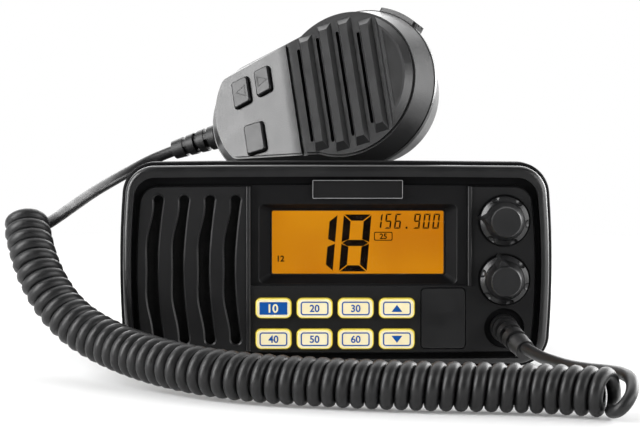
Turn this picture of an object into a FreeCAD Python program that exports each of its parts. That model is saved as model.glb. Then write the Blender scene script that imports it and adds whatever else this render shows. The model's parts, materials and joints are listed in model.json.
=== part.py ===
import FreeCAD, Part
import math
import os

# Fixed-mount marine VHF radio with its fist microphone and curly cord.
# Millimetres. X runs to the right seen from the front, Y to the rear, Z up.
# The radio leans back a little, because the front case is taller than the chassis
# behind it. The microphone lies on its side on the top cover.
# "Radio frame": the radio stood upright, front of the rim at y = 0, case bottom at z = 0.
# "Handset frame": x along the microphone towards its head, y across it, z out of its face.

V = FreeCAD.Vector

# ---------------------------------------------------------------- front case
case_width = 160.0
case_height = 76.4
case_depth = 17.0
case_corner_radius = 12.0
side_bow = 2.0
top_bow = 0.5
flange_front = 5.0
flange_edge_radius = 1.1
flange_step = 1.3
rim_crest_radius = 2.0
rim_side = 4.3
rim_top = 5.6
rim_bottom = 3.4
groove_depth = 4.5
groove_width = 1.9
groove_width_top = 3.2
panel_face = 2.0
panel_wall = 3.0
panel_edge_chamfer = 0.5
case_wall = 3.2
rear_lip_depth = 3.5
seal_width = 1.4
seal_thickness = 1.8
moulding_fit = 0.3
panel_rear_inset = 1.5

# centre field between the two upright ribs
field_left = -31.6
rib_width = 1.5
rib_height = 0.8
ledge_height = 30.4
display_field_drop = 1.0

# display
display_centre_x = 8.1
display_width = 64.2
display_above_ledge = 3.85
display_below_badge = 4.45
display_corner = 1.0
surround_side = 4.6
surround_top = 2.4
surround_bottom = 3.2
surround_depth = 3.4
surround_floor_edge = 0.5
window_thickness = 1.05
window_air = 0.15
window_overlap = 1.5
glass_thickness = 1.6
backlight_thickness = 1.6
display_frame_wall = 1.2

# badge place
badge_centre_x = 8.0
badge_width = 33.4
badge_height = 6.9
badge_below_top = 13.8
badge_thickness = 1.2
badge_border = 0.5

# speaker slots, four of them, bowed to the left
slot_count = 4
slot_from_side = 14.5
slot_from_field = 5.4
slot_below_top = 12.6
slot_bottom_z = 8.7
slot_narrow = 3.6
slot_bow = 2.4
slot_middle_extra = 0.2
slot_edge_chamfer = 0.6

# speaker
speaker_from_side = 10.0
speaker_from_field = 1.4
speaker_beyond_slots = 0.45
speaker_frame_thickness = 2.4
speaker_cone_depth = 6.0
magnet_radius = 13.0
magnet_length = 9.0
cloth_thickness = 0.4
cloth_corner = 3.0
cloth_beyond_slots = 1.6

# keys
key_columns = 4
key_rows = 2
key_pitch_x = 15.2
key_pitch_z = 11.4
key_first_x = -23.1
key_top_z = 22.1
key_width = 12.85
key_height = 7.2
key_corner = 1.9
key_proud = 1.2
key_travel = 1.0
key_gap = 0.3
key_stem = 6.4
key_flange = 0.7
key_flange_thickness = 1.0
web_thickness = 1.0
switch_side = 4.5
switch_clear = 0.3

# blank cover beside the keys
blank_from_key = 2.53
blank_from_well = 4.65
blank_centre_z = 18.35
blank_height = 22.4
blank_corner = 1.6
blank_thickness = 1.4
blank_gap = 0.25

# knobs and their controls
knob_from_side = 17.9
rib_from_well = 3.7
volume_from_top = 21.9
squelch_below_middle = 1.9
knob_well_radius = 9.7
knob_well_depth = 1.0
knob_clear = 0.35
knob_skirt_radius = 8.9
knob_skirt_height = 4.8
knob_neck_radius = 6.9
knob_face_radius = 5.2
knob_height = 14.2
knob_pointer_reach = 10.2
knob_pointer_top_reach = 8.0
knob_pointer_drop = 1.6
knob_dimples = 6
knob_dimple_radius = 2.2
volume_pointer_deg = 173.0
squelch_pointer_deg = 103.0
shaft_radius = 3.0
shaft_in_knob = 9.0
running_clearance = 0.05
bushing_radius = 3.9
control_side = 12.0
control_depth = 5.0

# cord outlet on the front
outlet_from_side = 17.8
outlet_z = 14.7
outlet_well_radius = 7.4
outlet_well_depth = 1.4

# strain reliefs, the same moulding at both ends of the cord
relief_base_radius = 5.3
relief_tip_radius = 3.7
relief_core_radius = 3.1
relief_rings = 5
relief_ring_share = 0.62
relief_strap_width = 2.4
relief_flange_radius = 6.4
relief_flange_thickness = 1.6
outlet_relief_length = 27.0
outlet_relief_bend_deg = 37.0
outlet_relief_roll_deg = -44.5
handset_relief_length = 24.2
handset_relief_bend_deg = 1.5
handset_relief_y = 1.2

# chassis and cover
chassis_inset = 7.5
chassis_bottom = 5.6
chassis_front = 10.0
chassis_rear = 112.0
chassis_wall = 2.5
chassis_edge_radius = 3.0
cover_below_case_top = 8.0
cover_thickness = 1.2
lintel_height = 3.0
fin_count = 5
fin_pitch = 8.0
fin_thickness = 2.0
fin_depth = 7.0
fin_from_side = 6.5
fin_from_bottom = 5.4
fin_from_top = 4.4
insert_y = 62.0
insert_z = 38.0
insert_radius = 4.0
insert_bore_radius = 2.1
insert_length = 8.0
boss_wall = 2.5
bracket_pad_radius = 12.0
bracket_pad_height = 0.6
case_boss_radius = 3.4
case_boss_inset = 5.2
case_boss_low = 5.5
case_boss_high = 3.9
cover_screw_inset = 6.0
cover_screw_radius = 1.5
cover_screw_head = 2.8
cover_screw_length = 8.0
case_screw_head = 2.4

# boards and what is on them
board_thickness = 1.6
board_edge_gap = 0.6
main_board_height = 7.0
main_board_front = 24.0
main_board_rear = 106.0
board_post_from_side = 14.5
board_post_from_end = 5.0
board_screw_radius = 1.3
board_screw_head = 2.4
board_boss_radius = 2.9
shield_from_side = 22.5
shield_from_front = 14.0
shield_wall = 0.5
shield_length = 46.0
shield_width = 40.0
shield_height = 13.0
parts_from_shield = 10.0
coil_count = 3
coil_pitch = 11.0
coil_radius = 4.0
coil_height = 12.0
capacitor_count = 4
capacitor_pitch = 8.0
capacitor_radius = 2.6
capacitor_height = 7.0
crystal_length = 11.0
crystal_width = 5.0
crystal_height = 4.0
chip_length = 18.0
chip_width = 14.0
chip_height = 2.4
power_module_width = 26.0
power_module_from_side = 18.5
power_module_depth = 11.0
power_module_height = 9.0
front_board_side_gap = 1.4
board_screw_from_top = 6.4
board_screw_from_rib = 4.6
board_screw_from_knob = 10.1
board_screw_low_z = 12.5

# rear connectors
antenna_x = -12.0
antenna_z = 38.0
antenna_barrel_radius = 7.9
antenna_barrel_length = 14.0
antenna_spigot_radius = 6.7
antenna_recess_radius = 6.0
antenna_recess_depth = 1.5
antenna_contact_radius = 1.9
antenna_contact_depth = 9.0
antenna_flange = 25.0
antenna_flange_thickness = 2.0
gland_x = 14.0
gland_z = 30.0
gland_radius = 5.5
gland_reach = 4.0
gland_bore_radius = 1.9
jack_x = 14.0
jack_z = 50.0
jack_nut_radius = 4.6
jack_bore_radius = 1.8

# microphone shells
disc_radius = 28.2
head_rim_radius = 31.2
head_rim_shift = 2.0
tail_reach = 61.4
tail_arc_radius = 24.4
tail_corner_radius = 8.7
rim_taper_deg = 10.8
face_arc_end_deg = 122.0
face_taper_deg = 12.6
face_tail_reach = 55.6
face_tail_radius = 27.0
face_corner_radius = 3.2
face_border = 0.8
seam_depth = 9.0
seam_gap = 0.3
seam_lip = 0.4
seam_lip_depth = 1.7
back_depth = 30.0
back_draft_deg = 17.0
back_edge_radius = 3.0
shell_wall = 2.0
face_groove_x = -21.2
face_groove_width = 2.1
face_groove_depth = 1.3

# microphone grille bars
bar_count = 4
bar_first_x = -13.5
bar_pitch = 8.5
bar_half_lengths = (24.0, 26.4, 26.4, 23.6)
bar_top_width = 3.1
bar_flank = 1.4
bar_height = 2.2
bar_end_slope = 3.2
slot_beside_bar = 3.55
slot_beside_width = 1.3
slot_short_of_bar = 5.4
badge_chord_x = 16.4
badge_flank = 2.3
mic_badge_thickness = 0.6
mic_badge_inset = 1.0

# microphone buttons
pair_left_x = -47.3
pair_right_x = -29.7
pair_left_z = (2.3, 13.4)
pair_right_z = (6.3, 16.6)
pair_divider_x = -38.1
pair_divider_width = 1.9
single_centre = (-40.2, -11.3)
single_width = 8.0
single_length = 12.0
button_corner = 1.3
button_proud = 1.7
button_travel = 0.9
button_gap = 0.5
button_stem = 5.2
button_edge = 0.7

# push-to-talk bar
ptt_angle_deg = 51.5
ptt_width = 17.8
ptt_outer_radius = 33.4
ptt_inner_radius = 24.5
ptt_front = -10.6
ptt_rear = -18.8
ptt_travel = 1.8
ptt_gap = 0.35
ptt_corner = 1.6
ptt_groove = 0.7

# what the microphone holds
mic_board_thickness = 1.4
capsule_radius = 4.9
capsule_length = 5.0
mic_post_radius = 2.6
stud_neck_radius = 3.6
stud_neck_length = 3.2
stud_head_radius = 6.0
stud_head_thickness = 2.0
mic_screw_head = 2.6

# where the microphone lies on the top cover
mic_x = 3.76
mic_y = 48.4
mic_yaw = -21.03
mic_pitch = -15.73
mic_roll = 73.81
rest_gap = 0.15

# cord
cord_diameter = 4.4
coil_diameter = 16.4
footprint_middle = 53.0

# Route points of the cord, in the finished part's own frame, chosen by hand.
lead_mic_route = (
    V(-64.0, 44.2, 74.1),
    V(-71.6, 46.0, 71.1),
    V(-79.6, 43.6, 67.0),
    V(-87.9, 34.0, 62.9),
    V(-94.5, 19.0, 59.7),
    V(-99.4, 1.5, 57.0),
    V(-103.8, -16.0, 54.4),
    V(-107.1, -31.5, 52.2),
    V(-109.4, -42.0, 50.0),
)
coil_route = (
    V(-115.2, -40.5, 54.4),
    V(-112.0, -51.0, 43.0),
    V(-106.5, -59.0, 32.5),
    V(-99.8, -65.5, 24.0),
    V(-90.8, -73.0, 17.6),
    V(-77.6, -84.6, 12.9),
    V(-62.2, -102.0, 10.4),
    V(-46.7, -115.8, 9.3),
    V(-30.2, -126.2, 8.8),
    V(-9.2, -133.9, 8.5),
    V(14.3, -140.0, 8.4),
    V(34.8, -143.6, 8.4),
    V(55.3, -145.6, 8.4),
    V(74.3, -149.5, 8.4),
    V(91.8, -156.9, 8.4),
)
lead_radio_route = (
    V(68.2, -75.6, 11.1),
    V(72.4, -86.5, 10.4),
    V(76.2, -98.5, 10.6),
    V(80.2, -112.0, 11.3),
    V(85.0, -125.0, 12.6),
    V(91.0, -136.6, 13.4),
    V(96.6, -147.4, 11.4),
    V(95.4, -156.9, 6.8),
    V(89.4, -163.4, 4.0),
)


# ---------------------------------------------------------------- values that follow
half_width = case_width / 2
chassis_half_width = half_width - chassis_inset
cover_top = case_height - cover_below_case_top
badge_bottom = case_height - badge_below_top
display_bottom = ledge_height + display_above_ledge
display_height = badge_bottom - display_below_badge - display_bottom
display_centre_z = display_bottom + display_height / 2
volume_z = case_height - volume_from_top
squelch_z = (volume_z + outlet_z) / 2 - squelch_below_middle
knob_x = half_width - knob_from_side
outlet_x = half_width - outlet_from_side
field_right = knob_x - knob_well_radius - rib_from_well
slot_top_z = case_height - slot_below_top
slot_first_x = -half_width + slot_from_side
slot_pitch = (field_left - slot_from_field - slot_first_x) / (slot_count - 1)
speaker_left = -half_width + speaker_from_side
speaker_width = field_left - speaker_from_field - speaker_left
speaker_height = slot_top_z - slot_bottom_z + 2 * speaker_beyond_slots
speaker_x = speaker_left + speaker_width / 2
speaker_z = (slot_top_z + slot_bottom_z) / 2
blank_left = key_first_x + (key_columns - 1) * key_pitch_x + key_width / 2 + blank_from_key
blank_width = knob_x - knob_well_radius - blank_from_well - blank_left
blank_centre_x = blank_left + blank_width / 2
front_board_right = chassis_half_width - chassis_wall - front_board_side_gap
board_screw_z = cover_top - board_screw_from_top
shield_left = -chassis_half_width + shield_from_side
power_module_left = chassis_half_width - power_module_from_side - power_module_width
panel_half_width = half_width - rim_side - groove_width
panel_bottom = rim_bottom + groove_width
panel_top = case_height - rim_top - groove_width_top
panel_back = panel_face + panel_wall
display_field_face = panel_face + display_field_drop
surround_floor = display_field_face + surround_depth
window_front = surround_floor + display_frame_wall
glass_front = window_front + window_thickness + window_air
backlight_front = glass_front + glass_thickness
front_board_y = backlight_front + backlight_thickness
key_tops = panel_face - key_proud
key_back = key_tops + key_stem
switch_front = key_back + key_travel + switch_clear
knob_back = panel_face + knob_well_depth - knob_clear
knob_front = panel_face - knob_height
cavity_half_width = half_width - case_wall
cavity_bottom = case_wall
cavity_top = case_height - case_wall
lean_deg = math.degrees(math.atan(chassis_bottom / (chassis_rear - case_depth)))
main_board_z = chassis_bottom + chassis_wall + main_board_height
draft = math.tan(math.radians(back_draft_deg))


# ---------------------------------------------------------------- helpers
def block(x0, x1, y0, y1, z0, z1):
    return Part.makeBox(x1 - x0, y1 - y0, z1 - z0, V(x0, y0, z0))


def rod_y(radius, x, z, y0, y1):
    return Part.makeCylinder(radius, y1 - y0, V(x, y0, z), V(0, 1, 0))


def rod_z(radius, x, y, z0, z1):
    return Part.makeCylinder(radius, z1 - z0, V(x, y, z0), V(0, 0, 1))


def edges_at(shape, axis, value):
    """The edges that lie in the plane axis = value."""
    found = []
    for edge in shape.Edges:
        low = getattr(edge.BoundBox, axis + "Min")
        high = getattr(edge.BoundBox, axis + "Max")
        if abs(low - value) < 0.01 and abs(high - value) < 0.01:
            found.append(edge)
    return found


def edges_along(shape, axis, length):
    """The straight edges of the given length that run along one axis."""
    found = []
    for edge in shape.Edges:
        size = getattr(edge.BoundBox, axis + "Length")
        if abs(size - length) < 0.01 and abs(edge.Length - length) < 0.01:
            found.append(edge)
    return found


def wire_of(curves):
    return Part.Wire([curve.toShape() for curve in curves])


def rounded_outline(cx, cz, width, height, radius, y):
    """A rounded rectangle in the plane y, as one closed wire."""
    x0, x1 = cx - width / 2, cx + width / 2
    z0, z1 = cz - height / 2, cz + height / 2
    k = radius * (1 - math.sqrt(0.5))
    curves = [
        Part.LineSegment(V(x0 + radius, y, z0), V(x1 - radius, y, z0)),
        Part.Arc(V(x1 - radius, y, z0), V(x1 - k, y, z0 + k), V(x1, y, z0 + radius)),
        Part.LineSegment(V(x1, y, z0 + radius), V(x1, y, z1 - radius)),
        Part.Arc(V(x1, y, z1 - radius), V(x1 - k, y, z1 - k), V(x1 - radius, y, z1)),
        Part.LineSegment(V(x1 - radius, y, z1), V(x0 + radius, y, z1)),
        Part.Arc(V(x0 + radius, y, z1), V(x0 + k, y, z1 - k), V(x0, y, z1 - radius)),
        Part.LineSegment(V(x0, y, z1 - radius), V(x0, y, z0 + radius)),
        Part.Arc(V(x0, y, z0 + radius), V(x0 + k, y, z0 + k), V(x0 + radius, y, z0)),
    ]
    return wire_of(curves)


def plate(cx, cz, width, height, radius, y0, y1):
    """A rounded rectangular plate that faces the front, from y0 back to y1."""
    outline = rounded_outline(cx, cz, width, height, radius, y0)
    return Part.Face(outline).extrude(V(0, y1 - y0, 0))


def bowed_block(half, z0, z1, radius, y0, y1):
    """A block with the case's gently bowed sides, its four long edges rounded."""
    mid = (z0 + z1) / 2
    low_left = V(-half + side_bow, y0, z0 + top_bow)
    low_right = V(half - side_bow, y0, z0 + top_bow)
    high_left = V(-half + side_bow, y0, z1 - top_bow)
    high_right = V(half - side_bow, y0, z1 - top_bow)
    curves = [
        Part.Arc(low_left, V(0, y0, z0), low_right),
        Part.Arc(low_right, V(half, y0, mid), high_right),
        Part.Arc(high_right, V(0, y0, z1), high_left),
        Part.Arc(high_left, V(-half, y0, mid), low_left),
    ]
    solid = Part.Face(wire_of(curves)).extrude(V(0, y1 - y0, 0))
    return solid.makeFillet(radius, edges_along(solid, "Y", y1 - y0))


def fused(shapes):
    whole = shapes[0]
    for shape in shapes[1:]:
        whole = whole.fuse(shape)
    return whole.removeSplitter()


def group(shapes):
    return Part.makeCompound(shapes)


# ---------------------------------------------------------------- front case
def slot_outline(x_top, grow, y):
    """One speaker slot: narrow at both ends and bowed to the left in its middle."""
    half = slot_narrow / 2 + grow
    top = slot_top_z - slot_narrow / 2
    bottom = slot_bottom_z + slot_narrow / 2
    span = top - bottom
    left = []
    right = []
    shares = ((0.0, 0.0), (0.09, 0.05), (0.27, 0.93), (0.5, 1.0), (0.73, 0.97), (0.9, 0.22), (1.0, 0.0))
    for down, bow in shares:
        z = top - span * down
        left.append(V(x_top - half - bow * slot_bow, y, z))
    for down in (0.0, 0.25, 0.45, 0.7, 1.0):
        bow = math.sin(math.pi * down) * (slot_bow - slot_middle_extra)
        right.append(V(x_top + half - bow, y, top - span * down))
    left_curve = Part.BSplineCurve()
    left_curve.interpolate(left)
    right_curve = Part.BSplineCurve()
    right_curve.interpolate(right)
    curves = [
        left_curve,
        Part.Arc(left[-1], V(x_top, y, bottom - half), right[-1]),
        right_curve,
        Part.Arc(right[0], V(x_top, y, top + half), left[0]),
    ]
    return wire_of(curves)


def slot_cutter(index):
    x_top = slot_first_x + index * slot_pitch
    wide = slot_outline(x_top, slot_edge_chamfer, panel_face - 0.01)
    narrow = slot_outline(x_top, 0.0, panel_face + slot_edge_chamfer)
    mouth = Part.makeLoft([wide, narrow], True, True)
    through = Part.Face(narrow).extrude(V(0, panel_wall, 0))
    return mouth.fuse(through)


def surround_cutter():
    """The well around the display, with long slopes at its left and right."""
    front = rounded_outline(
        display_centre_x,
        display_centre_z + (surround_top - surround_bottom) / 2,
        display_width + 2 * surround_side,
        display_height + surround_top + surround_bottom,
        display_corner + 1.0,
        display_field_face - 0.01,
    )
    floor_edge = 2 * surround_floor_edge
    floor = rounded_outline(
        display_centre_x,
        display_centre_z,
        display_width + floor_edge,
        display_height + floor_edge,
        display_corner + surround_floor_edge,
        surround_floor,
    )
    return Part.makeLoft([front, floor], True, True)


def key_places():
    places = []
    for row in range(key_rows):
        for column in range(key_columns):
            places.append((key_first_x + column * key_pitch_x, key_top_z - row * key_pitch_z))
    return places


def key_hole(x, z, y0, y1):
    width = key_width + 2 * key_gap
    height = key_height + 2 * key_gap
    return plate(x, z, width, height, key_corner + key_gap, y0, y1)


def case_boss_places():
    side = chassis_half_width - case_boss_inset
    low = chassis_bottom + case_boss_low
    high = cover_top - case_boss_high
    between = (blank_left + blank_width + outlet_x - outlet_well_radius) / 2
    return ((-side, low), (between, low), (-side, high), (side, high))


def board_boss_places():
    left = (field_left + board_screw_from_rib, board_screw_z)
    right = (knob_x - board_screw_from_knob, board_screw_z)
    return (left, right, (blank_centre_x, board_screw_low_z))


def make_front_case():
    flange = bowed_block(half_width, 0, case_height, case_corner_radius, flange_front, case_depth)
    flange = flange.makeFillet(flange_edge_radius, edges_at(flange, "Y", flange_front))
    rim = bowed_block(
        half_width - flange_step,
        flange_step,
        case_height - flange_step,
        case_corner_radius - flange_step,
        0,
        flange_front + 2.0,
    )
    rim = rim.makeFillet(rim_crest_radius, edges_at(rim, "Y", 0))
    case = flange.fuse(rim)
    inner_radius = case_corner_radius - rim_side
    pocket_half = half_width - rim_side
    pocket_top = case_height - rim_top
    pocket = bowed_block(pocket_half, rim_bottom, pocket_top, inner_radius, -1, groove_depth)
    case = case.cut(pocket)
    panel_radius = inner_radius - 1.0
    panel = bowed_block(panel_half_width, panel_bottom, panel_top, panel_radius, panel_face, panel_back)
    panel = panel.makeChamfer(panel_edge_chamfer, edges_at(panel, "Y", panel_face))
    case = case.fuse(panel)
    cavity_radius = case_corner_radius - case_wall
    cavity = bowed_block(
        cavity_half_width,
        cavity_bottom,
        cavity_top,
        cavity_radius,
        groove_depth + 1.5,
        case_depth - rear_lip_depth,
    )
    behind = plate(
        0,
        (panel_bottom + panel_top) / 2,
        2 * (panel_half_width - panel_rear_inset),
        panel_top - panel_bottom - 2.0,
        3.0,
        panel_back,
        groove_depth + 2.0,
    )
    mouth = plate(
        0,
        (chassis_bottom + cover_top) / 2,
        2 * (chassis_half_width + moulding_fit),
        cover_top - chassis_bottom + 2 * moulding_fit,
        chassis_edge_radius,
        case_depth - rear_lip_depth - 1,
        case_depth + 1,
    )
    case = case.cut(fused([cavity, behind, mouth]))

    # the field around the display lies a step lower than the rest of the panel
    field = block(field_left, field_right, panel_face - 1, display_field_face, ledge_height, panel_top + 0.3)
    case = case.cut(field)
    ribs = []
    for x in (field_left - rib_width, field_right):
        foot = panel_bottom + 0.8 if x < 0 else ledge_height
        rib = block(x, x + rib_width, panel_face - rib_height, panel_back, foot, panel_top - 0.4)
        front_edges = edges_at(rib, "Y", panel_face - rib_height)
        ribs.append(rib.makeFillet(0.35, front_edges))
    frame = plate(
        display_centre_x,
        display_centre_z,
        display_width + 2 * surround_side + 2.4,
        display_height + surround_top + surround_bottom + 2.4,
        display_corner + 1.0,
        display_field_face + 0.2,
        window_front,
    )
    holder = plate(
        display_centre_x,
        display_centre_z,
        display_width + 2 * window_overlap + 4.0,
        display_height + 2 * window_overlap + 2.4,
        display_corner,
        window_front - 0.5,
        backlight_front,
    )
    root = panel_back - 1
    bosses = [rod_y(case_boss_radius, x, z, root, chassis_front - 0.4) for x, z in case_boss_places()]
    posts = [rod_y(board_boss_radius, x, z, root, front_board_y) for x, z in board_boss_places()]
    case = fused([case] + ribs + [frame, holder] + bosses + posts)

    cuts = [surround_cutter()]
    cuts.append(
        plate(
            display_centre_x,
            display_centre_z,
            display_width,
            display_height,
            display_corner,
            surround_floor - 0.1,
            window_front + 0.1,
        )
    )
    cuts.append(
        plate(
            display_centre_x,
            display_centre_z,
            display_width + 2 * window_overlap,
            display_height + 2 * window_overlap,
            0.5,
            window_front,
            front_board_y,
        )
    )
    for index in range(slot_count):
        cuts.append(slot_cutter(index))
    for x, z in key_places():
        cuts.append(key_hole(x, z, panel_face - 1, panel_back + 0.5))
    cuts.append(
        plate(
            blank_centre_x,
            blank_centre_z,
            blank_width + 2 * blank_gap,
            blank_height + 2 * blank_gap,
            blank_corner + blank_gap,
            panel_face - 1,
            panel_face + blank_thickness + 0.2,
        )
    )
    cuts.append(
        block(
            badge_centre_x - badge_width / 2,
            badge_centre_x + badge_width / 2,
            display_field_face - 2.0,
            display_field_face,
            badge_bottom,
            badge_bottom + badge_height,
        )
    )
    for z in (volume_z, squelch_z):
        cuts.append(rod_y(knob_well_radius, knob_x, z, panel_face - 1, panel_face + knob_well_depth))
        cuts.append(rod_y(bushing_radius, knob_x, z, panel_face, panel_back + 1))
    well_floor = panel_face + outlet_well_depth
    cuts.append(rod_y(outlet_well_radius, outlet_x, outlet_z, panel_face - 1, well_floor))
    cuts.append(rod_y(relief_base_radius, outlet_x, outlet_z, panel_face, panel_back + 1))
    for x, z in case_boss_places():
        cuts.append(rod_y(cover_screw_radius, x, z, chassis_front - 3.5, case_depth))
    for x, z in board_boss_places():
        cuts.append(rod_y(board_screw_radius, x, z, front_board_y - 5.0, front_board_y + 1))
    return case.cut(cuts).removeSplitter()


def make_case_seal():
    """Rubber frame between the back of the front case and the chassis inside it."""
    outer = plate(
        0,
        (chassis_bottom + cover_top) / 2,
        2 * (chassis_half_width + seal_width),
        cover_top - chassis_bottom + 2 * seal_width,
        chassis_edge_radius + 3.0,
        case_depth - rear_lip_depth - seal_thickness,
        case_depth - rear_lip_depth,
    )
    inner = plate(
        0,
        (chassis_bottom + cover_top) / 2,
        2 * chassis_half_width,
        cover_top - chassis_bottom,
        chassis_edge_radius,
        chassis_front,
        case_depth,
    )
    return outer.cut(inner)


def make_badge_plate():
    centre_z = badge_bottom + badge_height / 2
    front = display_field_face - badge_thickness
    body = plate(badge_centre_x, centre_z, badge_width, badge_height, 0.4, front, display_field_face)
    sunk = plate(
        badge_centre_x,
        centre_z,
        badge_width - 2 * badge_border,
        badge_height - 2 * badge_border,
        0.2,
        front - 1,
        front + 0.25,
    )
    return body.cut(sunk)


def display_sheet(overlap, y0, thickness):
    width = display_width + 2 * overlap
    height = display_height + 2 * overlap
    return plate(display_centre_x, display_centre_z, width, height, 0.4, y0, y0 + thickness)


def speaker_outline(inset, y):
    width = speaker_width - 2 * inset
    height = speaker_height - 2 * inset
    return rounded_outline(speaker_x, speaker_z, width, height, width / 2 - 0.1, y)


def make_speaker():
    """Long oval speaker: flat frame, paper cone in a basket, magnet behind it."""
    front = panel_back + cloth_thickness
    frame = Part.Face(speaker_outline(0, front)).extrude(V(0, speaker_frame_thickness, 0))
    deep = front + speaker_cone_depth
    cone_throat = rounded_outline(speaker_x, speaker_z, 14.0, 18.0, 6.0, deep)
    outer_throat = rounded_outline(speaker_x, speaker_z, 18.0, 22.0, 8.0, deep + 1.5)
    basket = Part.makeLoft([speaker_outline(1.0, front + 1), outer_throat], True, True)
    hollow = Part.makeLoft([speaker_outline(2.0, front), cone_throat], True, True)
    magnet = rod_y(magnet_radius, speaker_x, speaker_z, deep + 1.0, deep + 1.0 + magnet_length)
    cap = Part.makeSphere(5.0, V(speaker_x, deep + 1.5, speaker_z))
    cap = cap.common(rod_y(5.0, speaker_x, speaker_z, deep - 4.0, deep + 1.6))
    return fused([frame, basket]).cut(hollow).fuse(magnet).fuse(cap).removeSplitter()


def make_speaker_cloth():
    """Cloth behind all the slots, cut away around the two case bosses beside them."""
    back = panel_back + cloth_thickness
    left = slot_first_x - slot_narrow / 2 - slot_bow - cloth_beyond_slots
    right = field_left - speaker_from_field
    cloth = plate(
        (left + right) / 2,
        speaker_z,
        right - left,
        slot_top_z - slot_bottom_z + 2 * cloth_beyond_slots,
        cloth_corner,
        panel_back,
        back,
    )
    holes = [rod_y(case_boss_radius, x, z, panel_back - 1, back + 1) for x, z in case_boss_places()]
    return cloth.cut(holes)


def make_keypad_web():
    """Silicone sheet behind the keys, with a hole for each key's stem."""
    middle_x = key_first_x + (key_columns - 1) * key_pitch_x / 2
    middle_z = key_top_z - (key_rows - 1) * key_pitch_z / 2
    width = key_columns * key_pitch_x - 1.0
    height = key_rows * key_pitch_z - 2.8
    web = plate(middle_x, middle_z, width, height, 1.0, panel_back, panel_back + web_thickness)
    holes = [key_hole(x, z, panel_back - 1, panel_back + 2) for x, z in key_places()]
    return web.cut(holes)


def make_key(x, z):
    cap = plate(x, z, key_width, key_height, key_corner, key_tops, key_back)
    cap = cap.makeFillet(0.45, edges_at(cap, "Y", key_tops))
    flange_front = panel_back + web_thickness + 0.1
    flange = plate(
        x,
        z,
        key_width + 2 * key_flange,
        key_height + 2 * key_flange,
        key_corner,
        flange_front,
        flange_front + key_flange_thickness - 0.1,
    )
    return cap.fuse(flange).removeSplitter()


def make_key_switches():
    switches = []
    for x, z in key_places():
        base = plate(x, z, switch_side, switch_side, 0.3, switch_front + 0.5, front_board_y)
        button = rod_y(1.3, x, z, switch_front, switch_front + 0.6)
        switches.append(base.fuse(button))
    return group(switches)


def make_blank_cover():
    cover = plate(
        blank_centre_x,
        blank_centre_z,
        blank_width,
        blank_height,
        blank_corner,
        panel_face + 0.2,
        panel_face + 0.2 + blank_thickness,
    )
    return cover.makeFillet(0.3, edges_at(cover, "Y", panel_face + 0.2))


def make_front_board():
    back = front_board_y + board_thickness
    bottom = chassis_bottom + chassis_wall + board_edge_gap
    top = cover_top - lintel_height - board_edge_gap
    board = block(field_left + 1.0, front_board_right, front_board_y, back, bottom, top)
    cuts = []
    for x, z in board_boss_places():
        cuts.append(rod_y(board_screw_radius, x, z, front_board_y - 1, back + 1))
    # the two right corners give way to the cord outlet and the case bosses
    right = front_board_right + 1
    outlet_side = blank_left + blank_width - 1.3
    outlet_top = outlet_z + outlet_well_radius + 0.6
    cuts.append(block(outlet_side, right, front_board_y - 1, back + 1, bottom - 1, outlet_top))
    boss_side = chassis_half_width - case_boss_inset - case_boss_radius - 1.6
    boss_bottom = cover_top - case_boss_high - case_boss_radius - 1.1
    cuts.append(block(boss_side, right, front_board_y - 1, back + 1, boss_bottom, top + 1))
    return board.cut(cuts)


def make_front_board_screws():
    screws = []
    back = front_board_y + board_thickness
    for x, z in board_boss_places():
        shank = rod_y(board_screw_radius, x, z, front_board_y - 4.0, back)
        head = rod_y(board_screw_head, x, z, back, back + 1.4)
        screws.append(shank.fuse(head))
    return group(screws)


# ---------------------------------------------------------------- knobs
def pointer_outline(radius, reach, y):
    """Triangle whose sides leave a circle of that radius as tangents and meet at reach."""
    touch = radius * radius / reach
    half = radius * math.sqrt(1 - (radius / reach) ** 2)
    corners = [V(touch, y, half), V(reach, y, 0), V(touch, y, -half)]
    return Part.makePolygon(corners + corners[:1])


def make_knob(z, pointer_deg):
    """Skirted knob with a raised pointer and dimples at the other sixths of its skirt."""
    shoulder = knob_back - knob_skirt_height
    neck = knob_front + 0.45 * (shoulder - knob_front)
    profile = [
        V(0, knob_back, 0),
        V(knob_skirt_radius, knob_back, 0),
        V(knob_skirt_radius, shoulder + 0.5, 0),
        V(knob_skirt_radius - 0.6, shoulder, 0),
        V(knob_neck_radius + 0.5, shoulder - 0.8, 0),
        V(knob_neck_radius, shoulder - 2.0, 0),
        V(knob_neck_radius - 0.5, neck, 0),
        V(knob_face_radius + 0.4, knob_front + 0.5, 0),
        V(knob_face_radius, knob_front, 0),
        V(0, knob_front, 0),
        V(0, knob_back, 0),
    ]
    body = Part.Face(Part.makePolygon(profile)).revolve(V(0, 0, 0), V(0, 1, 0), 360)
    wide = pointer_outline(knob_neck_radius, knob_pointer_reach, knob_back - 0.8)
    slim = pointer_outline(knob_face_radius, knob_pointer_top_reach, knob_front + knob_pointer_drop)
    pointer = Part.makeLoft([wide, slim], True, True)
    body = body.fuse(pointer)
    dimples = []
    for index in range(1, knob_dimples):
        turn = math.radians(360.0 * index / knob_dimples)
        reach = knob_skirt_radius + 0.6
        centre = V(reach * math.cos(turn), shoulder - 0.9, reach * math.sin(turn))
        dimples.append(Part.makeSphere(knob_dimple_radius, centre))
    dimples.append(Part.makeCylinder(shaft_radius, shaft_in_knob, V(0, knob_back, 0), V(0, -1, 0)))
    body = body.cut(dimples).removeSplitter()
    body.rotate(V(0, 0, 0), V(0, 1, 0), -pointer_deg)
    body.translate(V(knob_x, 0, z))
    return body


def make_shaft(z):
    return rod_y(shaft_radius, knob_x, z, knob_back - shaft_in_knob + 0.1, panel_back + 3.6)


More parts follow.
